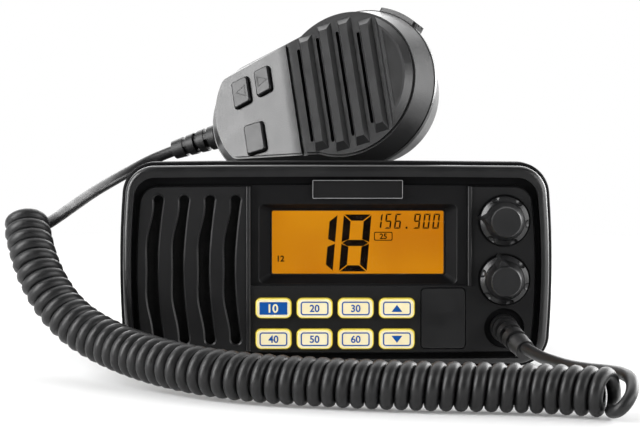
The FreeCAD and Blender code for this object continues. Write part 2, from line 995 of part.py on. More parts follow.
def make_control(z):
    """Rotary control: a can on the front board and a bushing through the panel."""
    half = control_side / 2
    back = panel_back + control_depth
    can = block(knob_x - half, knob_x + half, panel_back, back, z - half, z + half)
    feet = block(knob_x - 4, knob_x + 4, back, front_board_y, z - 3, z + 3)
    bushing = rod_y(bushing_radius - 0.05, knob_x, z, panel_face + knob_well_depth, panel_back)
    bore = rod_y(shaft_radius + running_clearance, knob_x, z, 0, panel_back + 3.7)
    return fused([can, feet, bushing]).cut(bore)


# ---------------------------------------------------------------- strain reliefs
def relief_axis(length, bend_deg, share):
    """Point at a share of the boot's length: along -Y, bending to +X."""
    bend = math.radians(bend_deg)
    radius = length / bend
    angle = bend * share
    return V(radius * (1 - math.cos(angle)), -radius * math.sin(angle), 0)


def relief_radius(share):
    base = relief_base_radius - 0.1
    return base - (base - relief_tip_radius) * share


def relief_ring(length, bend_deg, start_share, end_share):
    start = relief_axis(length, bend_deg, start_share)
    end = relief_axis(length, bend_deg, end_share)
    run = end.sub(start)
    return Part.makeCone(relief_radius(start_share), relief_radius(end_share), run.Length, start, run)


def relief_strap(length, bend_deg, ring):
    """A bar that ties one ring to the next; the bars alternate by a quarter turn."""
    start = relief_axis(length, bend_deg, (ring + 0.4) / relief_rings)
    end_share = (ring + 1.2) / relief_rings
    end = relief_axis(length, bend_deg, end_share)
    run = end.sub(start)
    reach = relief_radius(end_share) - 0.3
    strap = Part.makeBox(2 * reach, relief_strap_width, run.Length, V(-reach, -relief_strap_width / 2, 0))
    strap = strap.common(Part.makeCylinder(reach, run.Length))
    strap.rotate(V(0, 0, 0), V(0, 0, 1), 90.0 * (ring % 2))
    turn = FreeCAD.Placement(start, FreeCAD.Rotation(V(0, 0, 1), run))
    strap.Placement = turn.multiply(strap.Placement)
    return strap


def make_relief(length, bend_deg, roll_deg, root):
    """Ribbed tapering boot along -Y from the origin, with its flange behind the wall."""
    bend_radius = length / math.radians(bend_deg)
    disc = Part.Face(Part.Wire(Part.makeCircle(relief_core_radius, V(0, 0, 0), V(0, 1, 0))))
    pieces = [disc.revolve(V(bend_radius, 0, 0), V(0, 0, 1), bend_deg)]
    pieces.append(rod_y(relief_flange_radius, 0, 0, root, root + relief_flange_thickness))
    pieces.append(rod_y(relief_radius(0), 0, 0, -0.5, root + 0.1))
    for ring in range(relief_rings):
        start_share = ring / relief_rings
        end_share = start_share + relief_ring_share / relief_rings
        if ring == relief_rings - 1:
            end_share = 1.0
        pieces.append(relief_ring(length, bend_deg, start_share, end_share))
    for ring in range(relief_rings - 1):
        pieces.append(relief_strap(length, bend_deg, ring))
    boot = fused(pieces)
    boot.Placement = FreeCAD.Placement(V(0, 0, 0), FreeCAD.Rotation(V(0, 1, 0), -roll_deg))
    return boot


# ---------------------------------------------------------------- chassis
def make_chassis():
    middle_z = (chassis_bottom + cover_top) / 2
    outer = plate(
        0,
        middle_z,
        2 * chassis_half_width,
        cover_top - chassis_bottom,
        chassis_edge_radius,
        chassis_front,
        chassis_rear,
    )
    inner_half = chassis_half_width - chassis_wall
    floor = chassis_bottom + chassis_wall
    rear_wall = chassis_rear - chassis_wall
    inner = block(-inner_half, inner_half, chassis_front - 1, rear_wall, floor, cover_top + 1)
    seat = block(
        -chassis_half_width - 1,
        chassis_half_width + 1,
        case_depth + moulding_fit,
        chassis_rear + 1,
        cover_top - cover_thickness,
        cover_top + 1,
    )
    body = outer.cut([inner, seat])
    lintel_rear = case_depth + moulding_fit
    lintel_bottom = cover_top - lintel_height
    lintel = block(-inner_half - 0.5, inner_half + 0.5, chassis_front, lintel_rear, lintel_bottom, cover_top)
    adds = [lintel.common(outer)]
    for side in (-1, 1):
        for index in range(fin_count):
            x = side * (chassis_half_width - fin_from_side - index * fin_pitch)
            adds.append(
                block(
                    x - fin_thickness / 2,
                    x + fin_thickness / 2,
                    chassis_rear - 0.5,
                    chassis_rear + fin_depth,
                    chassis_bottom + fin_from_bottom,
                    cover_top - fin_from_top,
                )
            )
        inner_x = side * (chassis_half_width - insert_length - 1.0)
        length = insert_length + 1.0 - 0.3
        start = V(inner_x, insert_y, insert_z)
        adds.append(Part.makeCylinder(insert_radius + boss_wall, length, start, V(side, 0, 0)))
        pad_start = V(side * (chassis_half_width - chassis_wall / 2), insert_y, insert_z)
        pad_length = chassis_wall / 2 + bracket_pad_height
        adds.append(Part.makeCylinder(bracket_pad_radius, pad_length, pad_start, V(side, 0, 0)))
    for x, y in board_posts():
        adds.append(rod_z(board_boss_radius, x, y, floor - 0.5, main_board_z))
    for x, y in cover_screw_places():
        foot = cover_top - 16.0
        boss_x = math.copysign(chassis_half_width - cover_screw_inset, x)
        adds.append(rod_z(3.6, boss_x, y, foot, cover_top - cover_thickness))
        wall_x = math.copysign(chassis_half_width - chassis_wall - 0.2, x)
        low_x, high_x = min(boss_x, wall_x), max(boss_x, wall_x)
        adds.append(block(low_x, high_x, y - 2.5, y + 2.5, foot, cover_top - cover_thickness))
    for x, z in case_boss_places():
        boss_front = chassis_front + 0.2
        adds.append(rod_y(3.8, x, z, boss_front, lintel_rear))
        if abs(x) > chassis_half_width - case_boss_inset - 0.1:
            wall_x = math.copysign(inner_half + 0.5, x)
            low_x, high_x = min(x, wall_x), max(x, wall_x)
            adds.append(block(low_x, high_x, boss_front, lintel_rear, z - 3.0, z + 3.0))
        else:
            adds.append(block(x - 3.0, x + 3.0, boss_front, lintel_rear, floor - 0.5, z))
    body = fused([body] + adds)
    cuts = []
    for side in (-1, 1):
        mouth = V(side * (chassis_half_width + bracket_pad_height + 1), insert_y, insert_z)
        cuts.append(Part.makeCylinder(insert_radius, insert_length + 1.0, mouth, V(-side, 0, 0)))
    for x, y in board_posts():
        cuts.append(rod_z(board_screw_radius, x, y, main_board_z - 5.0, main_board_z + 1))
    for x, y in cover_screw_places():
        cuts.append(rod_z(cover_screw_radius, x, y, cover_top - 10.0, cover_top))
    for x, z in case_boss_places():
        cuts.append(rod_y(cover_screw_radius, x, z, chassis_front - 1, lintel_rear + 1))
    start = rear_wall - 1
    end = chassis_rear + 1
    cuts.append(rod_y(antenna_spigot_radius + 0.1, antenna_x, antenna_z, start, end))
    cuts.append(rod_y(gland_radius, gland_x, gland_z, start, end))
    cuts.append(rod_y(jack_nut_radius - 1.6, jack_x, jack_z, start, end))
    return body.cut(cuts).removeSplitter()


def cover_screw_places():
    places = []
    for side in (-1, 1):
        for y in (26.0, 66.0, 104.0):
            places.append((side * (chassis_half_width - cover_screw_inset), y))
    return places


def make_top_cover():
    front = case_depth + moulding_fit
    half = chassis_half_width - 0.1
    bottom = cover_top - cover_thickness
    cover = block(-half, half, front, chassis_rear, bottom, cover_top)
    long_edges = []
    for edge in edges_along(cover, "Y", chassis_rear - front):
        if edge.BoundBox.ZMin > bottom + 0.01:
            long_edges.append(edge)
    cover = cover.makeFillet(cover_thickness * 0.9, long_edges)
    cones = []
    for x, y in cover_screw_places():
        cones.append(countersink(x, y))
    return cover.cut(cones)


def countersink(x, y):
    start = V(x, y, cover_top - cover_thickness)
    return Part.makeCone(cover_screw_radius, cover_screw_head, cover_thickness, start)


def make_cover_screws():
    screws = []
    for x, y in cover_screw_places():
        screw = countersink(x, y)
        screw = screw.fuse(rod_z(cover_screw_radius, x, y, cover_top - cover_screw_length, cover_top - 0.2))
        slot_a = block(x - 1.4, x + 1.4, y - 0.3, y + 0.3, cover_top - 0.6, cover_top + 1)
        slot_b = block(x - 0.3, x + 0.3, y - 1.4, y + 1.4, cover_top - 0.6, cover_top + 1)
        screws.append(screw.cut([slot_a, slot_b]).removeSplitter())
    return group(screws)


def make_case_screws():
    screws = []
    for x, z in case_boss_places():
        boss_rear = case_depth + moulding_fit
        shank = rod_y(cover_screw_radius, x, z, chassis_front - 3.2, boss_rear)
        head = rod_y(case_screw_head, x, z, boss_rear, boss_rear + 2.0)
        screws.append(shank.fuse(head))
    return group(screws)


def make_side_inserts():
    """Brass threaded inserts for the mounting bracket's two hand screws."""
    inserts = []
    for side in (-1, 1):
        start = V(side * (chassis_half_width + bracket_pad_height), insert_y, insert_z)
        body = Part.makeCylinder(insert_radius, insert_length, start, V(-side, 0, 0))
        bore = Part.makeCylinder(insert_bore_radius, insert_length, start, V(-side, 0, 0))
        inserts.append(body.cut(bore))
    return group(inserts)


def board_posts():
    places = []
    side = chassis_half_width - board_post_from_side
    front = main_board_front + board_post_from_end
    rear = main_board_rear - board_post_from_end
    for x in (-side, side):
        for y in (front, (front + rear) / 2, rear):
            places.append((x, y))
    return places


def make_main_board():
    half = chassis_half_width - chassis_wall - board_edge_gap
    top = main_board_z + board_thickness
    board = block(-half, half, main_board_front, main_board_rear, main_board_z, top)
    holes = [rod_z(board_screw_radius, x, y, main_board_z - 1, top + 1) for x, y in board_posts()]
    return board.cut(holes)


def make_main_board_screws():
    top = main_board_z + board_thickness
    screws = []
    for x, y in board_posts():
        shank = rod_z(board_screw_radius, x, y, main_board_z - 4.0, top)
        head = rod_z(board_screw_head, x, y, top, top + 1.6)
        screws.append(shank.fuse(head))
    return group(screws)


def make_shield_can():
    top = main_board_z + board_thickness
    front = main_board_front + shield_from_front
    rear = front + shield_width
    right = shield_left + shield_length
    lid = top + shield_height
    wall = shield_wall
    outer = block(shield_left, right, front, rear, top, lid)
    inner = block(shield_left + wall, right - wall, front + wall, rear - wall, top, lid - wall)
    return outer.cut(inner)


def make_power_module():
    """Transmitter output block, bolted to the finned rear wall."""
    rear = chassis_rear - chassis_wall
    top = main_board_z + board_thickness
    return block(
        power_module_left,
        power_module_left + power_module_width,
        rear - power_module_depth,
        rear,
        top + 0.2,
        top + 0.2 + power_module_height,
    )


def make_board_parts():
    """Coils, capacitors and the crystal can that stand on the main board."""
    top = main_board_z + board_thickness
    left = shield_left + shield_length + parts_from_shield
    front = main_board_front + shield_from_front
    parts = []
    for index in range(coil_count):
        x = left + coil_pitch * (index + 0.5)
        parts.append(rod_z(coil_radius, x, front, top, top + coil_height))
    for index in range(capacitor_count):
        x = left + capacitor_pitch * (index + 0.5)
        y = front + coil_pitch + capacitor_pitch / 2
        parts.append(rod_z(capacitor_radius, x, y, top, top + capacitor_height))
    y = front + coil_pitch + 2 * capacitor_pitch
    parts.append(block(left, left + crystal_length, y, y + crystal_width, top, top + crystal_height))
    x = left + crystal_length + crystal_width
    parts.append(block(x, x + chip_length, y, y + chip_width, top, top + chip_height))
    return group(parts)


def make_ribbon_cable():
    """Flat cable from the front board down to the main board."""
    back = front_board_y + board_thickness
    top = main_board_z + board_thickness
    thickness = 0.8
    upright = block(-6.0, 14.0, back, back + thickness, top, 34.0)
    flat = block(-6.0, 14.0, back, main_board_front + 6.0, top, top + thickness)
    return upright.fuse(flat).removeSplitter()


def make_antenna_connector():
    half = antenna_flange / 2
    flange = plate(
        antenna_x,
        antenna_z,
        antenna_flange,
        antenna_flange,
        2.5,
        chassis_rear,
        chassis_rear + antenna_flange_thickness,
    )
    barrel_start = chassis_rear + antenna_flange_thickness
    barrel_end = barrel_start + antenna_barrel_length
    barrel = rod_y(antenna_barrel_radius, antenna_x, antenna_z, barrel_start, barrel_end)
    barrel = barrel.makeChamfer(0.5, edges_at(barrel, "Y", barrel_end))
    spigot_start = chassis_rear - chassis_wall - 6.0
    spigot = rod_y(antenna_spigot_radius, antenna_x, antenna_z, spigot_start, chassis_rear)
    body = fused([flange, barrel, spigot])
    recess_start = barrel_end - antenna_recess_depth
    recess = rod_y(antenna_recess_radius, antenna_x, antenna_z, recess_start, barrel_end + 1)
    contact_start = recess_start - antenna_contact_depth
    contact = rod_y(antenna_contact_radius, antenna_x, antenna_z, contact_start, recess_start + 1)
    screws = []
    for dx in (-1, 1):
        for dz in (-1, 1):
            x = antenna_x + dx * (half - 3.4)
            z = antenna_z + dz * (half - 3.4)
            face = chassis_rear + antenna_flange_thickness
            screws.append(rod_y(2.4, x, z, face - 0.5, face + 1.4))
    return body.cut([recess, contact]).fuse(screws).removeSplitter()


def make_power_gland():
    """Rubber gland in the rear wall where the supply lead would leave."""
    wall_front = chassis_rear - chassis_wall
    body = rod_y(gland_radius, gland_x, gland_z, wall_front, chassis_rear)
    inner = rod_y(gland_radius + 1.6, gland_x, gland_z, wall_front - 1.6, wall_front)
    start = V(gland_x, chassis_rear, gland_z)
    nose = Part.makeCone(gland_radius + 1.6, gland_radius - 0.6, gland_reach, start, V(0, 1, 0))
    bore = rod_y(gland_bore_radius, gland_x, gland_z, wall_front + 1.0, chassis_rear + gland_reach + 1)
    return fused([body, inner, nose]).cut(bore)


def make_speaker_jack():
    wall_front = chassis_rear - chassis_wall
    barrel = rod_y(jack_nut_radius - 1.65, jack_x, jack_z, wall_front - 1, chassis_rear + 2.6)
    nut = rod_y(jack_nut_radius, jack_x, jack_z, chassis_rear, chassis_rear + 1.8)
    body = block(jack_x - 5, jack_x + 5, wall_front - 12, wall_front, jack_z - 5, jack_z + 5)
    bore = rod_y(jack_bore_radius, jack_x, jack_z, wall_front - 9, chassis_rear + 3)
    return fused([barrel, nut, body]).cut(bore)


# ---------------------------------------------------------------- microphone shells
def handset_outline(arc_radius, arc_centre, arc_end_deg, taper_deg, tail_x, tail_radius, corner, z):
    """Closed outline across the microphone at height z: head arc, straight sides, curved tail."""
    end = math.radians(arc_end_deg)
    taper = math.radians(taper_deg)
    start = V(arc_centre + arc_radius * math.cos(end), arc_radius * math.sin(end), z)
    along = V(-math.cos(taper), -math.sin(taper), 0)
    inward = V(math.sin(taper), -math.cos(taper), 0)
    tail_centre = V(tail_x + tail_radius, 0, z)
    base = start + inward * corner - tail_centre
    reach = tail_radius - corner
    half_b = base.dot(along)
    distance = -half_b + math.sqrt(half_b * half_b - base.dot(base) + reach * reach)
    corner_centre = start + inward * corner + along * distance
    side_end = corner_centre - inward * corner
    outward = (corner_centre - tail_centre).normalize()
    tail_start = tail_centre + outward * tail_radius
    bisector = ((side_end - corner_centre) + (tail_start - corner_centre)).normalize()
    corner_mid = corner_centre + bisector * corner

    def mirrored(point):
        return V(point.x, -point.y, point.z)

    head_tip = V(arc_centre + arc_radius, 0, z)
    curves = [
        Part.Arc(mirrored(start), head_tip, start),
        Part.LineSegment(start, side_end),
        Part.Arc(side_end, corner_mid, tail_start),
        Part.Arc(tail_start, V(tail_x, 0, z), mirrored(tail_start)),
        Part.Arc(mirrored(tail_start), mirrored(corner_mid), mirrored(side_end)),
        Part.LineSegment(mirrored(side_end), mirrored(start)),
    ]
    return wire_of(curves)


def rim_outline(offset, z):
    """The seam outline moved outwards by offset."""
    return handset_outline(
        head_rim_radius + offset,
        head_rim_shift,
        90.0 + rim_taper_deg,
        rim_taper_deg,
        -tail_reach - offset,
        tail_arc_radius + offset,
        tail_corner_radius + offset,
        z,
    )


def face_outline(offset, z):
    return handset_outline(
        disc_radius + offset,
        0.0,
        face_arc_end_deg,
        face_taper_deg,
        -face_tail_reach - offset,
        face_tail_radius + offset,
        face_corner_radius + max(offset, -1.6),
        z,
    )


def bar_solid(index):
    """One grille bar: a ridge with sloping flanks and ends."""
    x = bar_first_x + index * bar_pitch
    half_base = bar_top_width / 2 + bar_flank
    half_top = bar_top_width / 2
    long_base = bar_half_lengths[index]
    long_top = long_base - bar_end_slope
    low = -0.3
    bar = Part.makeWedge(
        x - half_base,
        low,
        -long_base,
        -long_top,
        x - half_top,
        x + half_base,
        bar_height,
        long_base,
        long_top,
        x + half_top,
    )
    bar.rotate(V(0, 0, 0), V(1, 0, 0), 90)
    return bar


def grille_slot(index, deep):
    x = bar_first_x + index * bar_pitch - slot_beside_bar
    half = bar_half_lengths[index] - slot_short_of_bar
    radius = slot_beside_width / 2
    cutter = Part.makeBox(slot_beside_width, 2 * half, deep, V(x - radius, -half, -deep + 0.5))
    top = rod_z(radius, x, half, -deep + 0.5, 0.5)
    bottom = rod_z(radius, x, -half, -deep + 0.5, 0.5)
    return fused([cutter, top, bottom])


def pair_height(x, upper):
    """Height of the recess edge at x."""
    share = (x - pair_left_x) / (pair_right_x - pair_left_x)
    pick = 1 if upper else 0
    return pair_left_z[pick] + share * (pair_right_z[pick] - pair_left_z[pick])


def pair_button_prism(x0, x1, grow, z0, z1):
    points = [
        V(x0 - grow, pair_height(x0, False) - grow, z0),
        V(x1 + grow, pair_height(x1, False) - grow, z0),
        V(x1 + grow, pair_height(x1, True) + grow, z0),
        V(x0 - grow, pair_height(x0, True) + grow, z0),
    ]
    points.append(points[0])
    solid = Part.Face(Part.makePolygon(points)).extrude(V(0, 0, z1 - z0))
    return solid.makeFillet(button_corner + grow, edges_along(solid, "Z", z1 - z0))


def single_button_prism(grow, z0, z1):
    x, y = single_centre
    width = single_width + 2 * grow
    length = single_length + 2 * grow
    solid = Part.makeBox(width, length, z1 - z0, V(x - width / 2, y - length / 2, z0))
    return solid.makeFillet(button_corner + grow, edges_along(solid, "Z", z1 - z0))


def pair_spans():
    half = pair_divider_width / 2
    down = (pair_left_x + button_gap, pair_divider_x - half - button_gap)
    up = (pair_divider_x + half + button_gap, pair_right_x - button_gap)
    return down, up


def make_mic_front_shell():
    seam = rim_outline(0.0, -seam_depth)
    edge = face_outline(face_border, -0.8)
    body = Part.makeLoft([seam, edge], True, True)
    plateau = Part.Face(face_outline(0.0, -1.0)).extrude(V(0, 0, 1.0))
    body = body.fuse(plateau)
    low = rim_outline(-shell_wall, -seam_depth - 0.1)
    high = face_outline(-1.2, -shell_wall - 1.2)
    body = body.cut(Part.makeLoft([low, high], True, True))
    adds = [bar_solid(index) for index in range(bar_count)]
    adds.append(make_badge_boss())
    for x, y in mic_post_places():
        adds.append(rod_z(mic_post_radius, x, y, -seam_depth, -shell_wall))
    body = fused([body] + adds)
    half_groove = face_groove_width / 2
    cuts = [block(face_groove_x - half_groove, face_groove_x + half_groove, -60, 60, -face_groove_depth, 2)]
    for index in range(bar_count):
        cuts.append(grille_slot(index, 6.0))
    down, up = pair_spans()
    for span in (down, up):
        cuts.append(pair_button_prism(span[0], span[1], button_gap, -8.0, 3.0))
    cuts.append(single_button_prism(button_gap, -8.0, 3.0))
    cuts.append(mic_badge_solid())
    for x, y in mic_post_places():
        cuts.append(rod_z(1.0, x, y, -seam_depth - 1, -shell_wall - 1.0))
    cuts.append(ptt_solid(ptt_gap))
    return body.cut(cuts).removeSplitter()


def make_badge_boss():
    """Raised lens at the head of the disc, sloping down at its straight side too."""
    foot = disc_radius - 0.1
    boss = Part.makeCone(foot, foot - badge_flank, bar_height, V(0, 0, 0))
    rest = block(-60, badge_chord_x, -60, 60, -1, 10)
    slope = block(badge_chord_x - 10, badge_chord_x, -60, 60, 0, 10)
    slope.rotate(V(badge_chord_x, 0, 0), V(0, 1, 0), 35)
    return boss.cut([rest, slope])


def mic_badge_solid():
    """Lens-shaped plaque sunk into the raised boss at the head."""
    radius = disc_radius - badge_flank - mic_badge_inset
    chord = badge_chord_x + badge_flank + 0.6
    disc = rod_z(radius, 0, 0, bar_height - mic_badge_thickness, bar_height + 0.1)
    return disc.cut(block(-60, chord, -60, 60, -1, 10))


def make_mic_badge():
    plaque = mic_badge_solid()
    return plaque.cut(block(-60, 60, -60, 60, bar_height - 0.15, bar_height + 2))


def make_mic_back_shell():
    top = -seam_depth - seam_gap
    inset = (back_depth - seam_depth - seam_gap) * draft
    body = Part.makeLoft([rim_outline(0.0, top), rim_outline(-inset, -back_depth)], True, True)
    body = body.makeFillet(back_edge_radius, edges_at(body, "Z", -back_depth))
    lip = Part.Face(rim_outline(seam_lip, top - seam_lip_depth)).extrude(V(0, 0, seam_lip_depth))
    body = body.fuse(lip)
    inner_floor = -back_depth + shell_wall
    inner_inset = inset - shell_wall * draft + shell_wall
    hollow = [rim_outline(-shell_wall, top + 0.1), rim_outline(-inner_inset, inner_floor)]
    body = body.cut(Part.makeLoft(hollow, True, True))
    posts = []
    for x, y in mic_post_places():
        posts.append(rod_z(mic_post_radius, x, y, inner_floor - 0.5, -seam_depth - seam_gap))
    body = fused([body] + posts)
    cuts = [ptt_solid(ptt_gap)]
    cuts.append(relief_hole_in_shell())
    for x, y in mic_post_places():
        cuts.append(rod_z(1.2, x, y, -back_depth - 1, -seam_depth))
        cuts.append(rod_z(mic_screw_head, x, y, -back_depth - 1, -back_depth + 1.6))
    cuts.append(rod_z(stud_neck_radius - 1.0, stud_x(), 0, -back_depth - 1, inner_floor + 1))
    return body.cut(cuts).removeSplitter()


def stud_x():
    return head_rim_shift


def mic_post_places():
    return ((16.0, -14.0), (-12.0, 18.5), (-12.0, -18.5))


def relief_depth():
    return -(seam_depth + back_depth) / 2 + 2.0


def tail_wall_x():
    """Where the tail wall's outside lies at the depth of the strain relief."""
    return -tail_reach + (-relief_depth() - seam_depth - seam_gap) * draft


def relief_hole_in_shell():
    start = V(tail_wall_x() - 3, handset_relief_y, relief_depth())
    return Part.makeCylinder(relief_base_radius, 8.0, start, V(1, 0, 0))


def ptt_solid(grow):
    """The bar beside the head: a block with a round outer face, pointing along +X, then turned."""
    half = ptt_width / 2 + grow
    inner = ptt_inner_radius - (ptt_travel + grow if grow else 0)
    outer = ptt_outer_radius + (3.0 if grow else 0)
    z0 = ptt_rear - grow
    z1 = ptt_front + grow
    bar = block(inner, outer, -half, half, z0, z1)
    if grow:
        bar = bar.makeFillet(ptt_corner, edges_along(bar, "X", outer - inner))
    else:
        bar = bar.common(rod_z(ptt_outer_radius, 0, 0, z0, z1))
        bar = bar.makeFillet(ptt_corner, bar_corner_edges(bar))
    bar.rotate(V(0, 0, 0), V(0, 0, 1), ptt_angle_deg)
    bar.translate(V(head_rim_shift, 0, 0))
    return bar


def bar_corner_edges(bar):
    """The four straight edges of the bar that run outwards."""
    found = []
    for edge in bar.Edges:
        box = edge.BoundBox
        if box.YLength < 0.01 and box.ZLength < 0.01 and box.XLength > 1.0:
            found.append(edge)
    return found


def make_ptt_button():
    bar = ptt_solid(0.0)
    grooves = []
    middle = (ptt_front + ptt_rear) / 2
    for step in (-1, 1):
        z = middle + step * 1.7
        ring = rod_z(ptt_outer_radius + 1, head_rim_shift, 0, z - ptt_groove / 2, z + ptt_groove / 2)
        core = rod_z(ptt_outer_radius - ptt_groove, head_rim_shift, 0, z - 1, z + 1)
        grooves.append(ring.cut(core))
    return bar.cut(grooves)


def make_ptt_switch():
    """Leaf switch on the microphone board, just inside the bar's travel."""
    angle = math.radians(ptt_angle_deg)
    reach = ptt_inner_radius - ptt_travel - 0.4
    body = block(reach - 5.0, reach, -3.5, 3.5, mic_board_top(), mic_board_top() + 4.5)
    plunger = Part.makeCylinder(1.2, 0.6, V(reach - 0.4, 0, mic_board_top() + 2.2), V(1, 0, 0))
    switch = body.fuse(plunger)
    switch.rotate(V(0, 0, 0), V(0, 0, 1), math.degrees(angle))
    switch.translate(V(head_rim_shift, 0, 0))
    return switch.removeSplitter()


def mic_board_top():
    return ptt_rear + 1.2


def make_mic_board():
    top = mic_board_top()
    outline = rim_outline(-shell_wall - 5.6, top - mic_board_thickness)
    board = Part.Face(outline).extrude(V(0, 0, mic_board_thickness))
    cuts = [rod_z(mic_post_radius + 0.3, x, y, top - 5, top + 5) for x, y in mic_post_places()]
    cuts.append(block(-70, -48, -8, 8, top - 5, top + 5))
    cuts.append(ptt_solid(ptt_gap))
    return board.cut(cuts)


def make_mic_button_mat():
    """Rubber mat behind the three buttons: a pad under each and two feet on the board."""
    pad_top = button_proud - button_stem - button_travel - 0.4
    mat_top = pad_top - 0.8
    mat_bottom = mat_top - 1.2
    parts = [block(-48.5, -27.5, -16.5, 16.5, mat_bottom, mat_top)]
    down, up = pair_spans()
    places = [single_centre]
    for x0, x1 in (down, up):
        x = (x0 + x1) / 2
        places.append((x, (pair_height(x, False) + pair_height(x, True)) / 2))
    for x, y in places:
        parts.append(block(x - 2.5, x + 2.5, y - 2.5, y + 2.5, mat_bottom, pad_top))
    for y in (-12.0, 12.0):
        parts.append(block(-36.0, -32.0, y - 2.0, y + 2.0, mic_board_top(), mat_bottom + 0.1))
    return fused(parts)


def make_pair_button(span):
    solid = pair_button_prism(span[0], span[1], 0.0, button_proud - button_stem, button_proud)
    return solid.makeFillet(button_edge, edges_at(solid, "Z", button_proud))


def make_single_button():
    solid = single_button_prism(0.0, button_proud - button_stem, button_proud)
    return solid.makeFillet(button_edge, edges_at(solid, "Z", button_proud))


def make_capsule():
    top = -shell_wall - 1.2 - cloth_thickness
    can = rod_z(capsule_radius, 0, 0, top - capsule_length, top)
    stem = block(-2.5, 2.5, -2.5, 2.5, mic_board_top(), top - capsule_length)
    return fused([can, stem])


def make_mic_cloth():
    disc = rod_z(24.5, 0, 0, -shell_wall - 1.2 - cloth_thickness, -shell_wall - 1.2)
    cuts = [rod_z(mic_post_radius + 0.2, x, y, -10, 0) for x, y in mic_post_places()]
    cuts.append(block(-30, -19.5, -30, 30, -10, 0))
    return disc.cut(cuts)


def make_hanger_stud():
    x = stud_x()
    back = -back_depth
    neck = rod_z(stud_neck_radius, x, 0, back - stud_neck_length, back)
    tenon = rod_z(stud_neck_radius - 1.05, x, 0, back, back + shell_wall + 1.5)
    low = back - stud_neck_length
    head = rod_z(stud_head_radius, x, 0, low - stud_head_thickness, low)
    head = head.makeFillet(0.6, edges_at(head, "Z", low - stud_head_thickness))
    return fused([neck, tenon, head])


def make_mic_screws():
    screws = []
    for x, y in mic_post_places():
        head = rod_z(mic_screw_head - 0.1, x, y, -back_depth + 0.4, -back_depth + 1.6)
        slot = block(x - 1.5, x + 1.5, y - 0.3, y + 0.3, -back_depth, -back_depth + 1.0)
        shank = rod_z(1.0, x, y, -back_depth + 1.5, -seam_depth + 2.0)
        screws.append(head.cut(slot).fuse(shank))
    return group(screws)


def make_handset_relief():
    """The cord boot of the microphone, pointing out of its tail."""
    boot = make_relief(handset_relief_length, handset_relief_bend_deg, -90.0, 4.6)
    # the boot is made along -Y with its bend downwards; turn it to point along -X and bend towards -Y
    turn = FreeCAD.Placement(V(0, 0, 0), FreeCAD.Rotation(V(0, 0, 1), -90))
    roll = FreeCAD.Placement(V(0, 0, 0), FreeCAD.Rotation(V(1, 0, 0), -90))
    root = V(tail_wall_x(), handset_relief_y, relief_depth())
    move = FreeCAD.Placement(root, FreeCAD.Rotation())
    place = move.multiply(roll).multiply(turn)
    return moved(boot, place)


# ---------------------------------------------------------------- cord
def tube_path(points):
    """Straight runs joined by tangent arcs, each arc as large as its two runs allow."""
    edges = []
    radii = []
    last = points[0]
    for index in range(1, len(points) - 1):
        before = points[index - 1].sub(points[index])
        after = points[index + 1].sub(points[index])
        shorter = min(before.Length, after.Length)
        turn = math.pi - before.getAngle(after)
        radius = 0.45 * shorter / math.tan(turn / 2)
        radii.append(radius)
        trim = 0.45 * shorter
        enter = points[index] + before.normalize() * trim
        leave = points[index] + after.normalize() * trim
        bisector = (before + after).normalize()
        reach = radius / math.cos(turn / 2) - radius
        middle = points[index] + bisector * reach
        edges.append(Part.LineSegment(last, enter).toShape())
        edges.append(Part.Arc(enter, middle, leave).toShape())
        last = leave
    edges.append(Part.LineSegment(last, points[-1]).toShape())
    return Part.Wire(edges), radii


def tube(name, points, diameter):
    path, radii = tube_path(points)
    start = points[0]
    direction = points[1].sub(points[0])
    circle = Part.Wire(Part.makeCircle(diameter / 2, start, direction))
    solid = path.makePipeShell([circle], True, False)
    section = math.pi * diameter * diameter / 4
    print(
        name,
        "radii",
        [round(radius, 1) for radius in radii],
        "length",
        round(path.Length, 1),
        "volume ratio",
        round(solid.Volume / (section * path.Length), 4),
    )
    return solid


# ---------------------------------------------------------------- whole part
def radio_pieces():
    boot = make_relief(
        outlet_relief_length,
        outlet_relief_bend_deg,
        outlet_relief_roll_deg,
        panel_back - panel_face,
    )
    boot.translate(V(outlet_x, panel_face, outlet_z))
    pieces = {
        "front_case": make_front_case(),
        "case_seal": make_case_seal(),
        "badge_plate": make_badge_plate(),
        "lcd_window": display_sheet(window_overlap - 0.1, window_front, window_thickness),
        "lcd_glass": display_sheet(window_overlap - 0.3, glass_front, glass_thickness),
        "lcd_backlight": display_sheet(window_overlap - 0.3, backlight_front, backlight_thickness),
        "speaker": make_speaker(),
        "speaker_cloth": make_speaker_cloth(),
        "keypad_web": make_keypad_web(),
        "key_switches": make_key_switches(),
        "blank_cover": make_blank_cover(),
        "front_board": make_front_board(),
        "front_board_screws": make_front_board_screws(),
        "volume_control": make_control(volume_z),
        "squelch_control": make_control(squelch_z),
        "volume_shaft": make_shaft(volume_z),
        "squelch_shaft": make_shaft(squelch_z),
        "volume_knob": make_knob(volume_z, volume_pointer_deg),
        "squelch_knob": make_knob(squelch_z, squelch_pointer_deg),
        "cord_outlet_boot": boot,
        "chassis": make_chassis(),
        "top_cover": make_top_cover(),
        "cover_screws": make_cover_screws(),
        "case_screws": make_case_screws(),
        "side_inserts": make_side_inserts(),
        "main_board": make_main_board(),
        "main_board_screws": make_main_board_screws(),
        "shield_can": make_shield_can(),
        "power_module": make_power_module(),
        "board_parts": make_board_parts(),
        "ribbon_cable": make_ribbon_cable(),
        "antenna_connector": make_antenna_connector(),
        "power_gland": make_power_gland(),
        "speaker_jack": make_speaker_jack(),
    }
    for number, (x, z) in enumerate(key_places(), start=1):
        pieces["key_" + str(number)] = make_key(x, z)
    return pieces


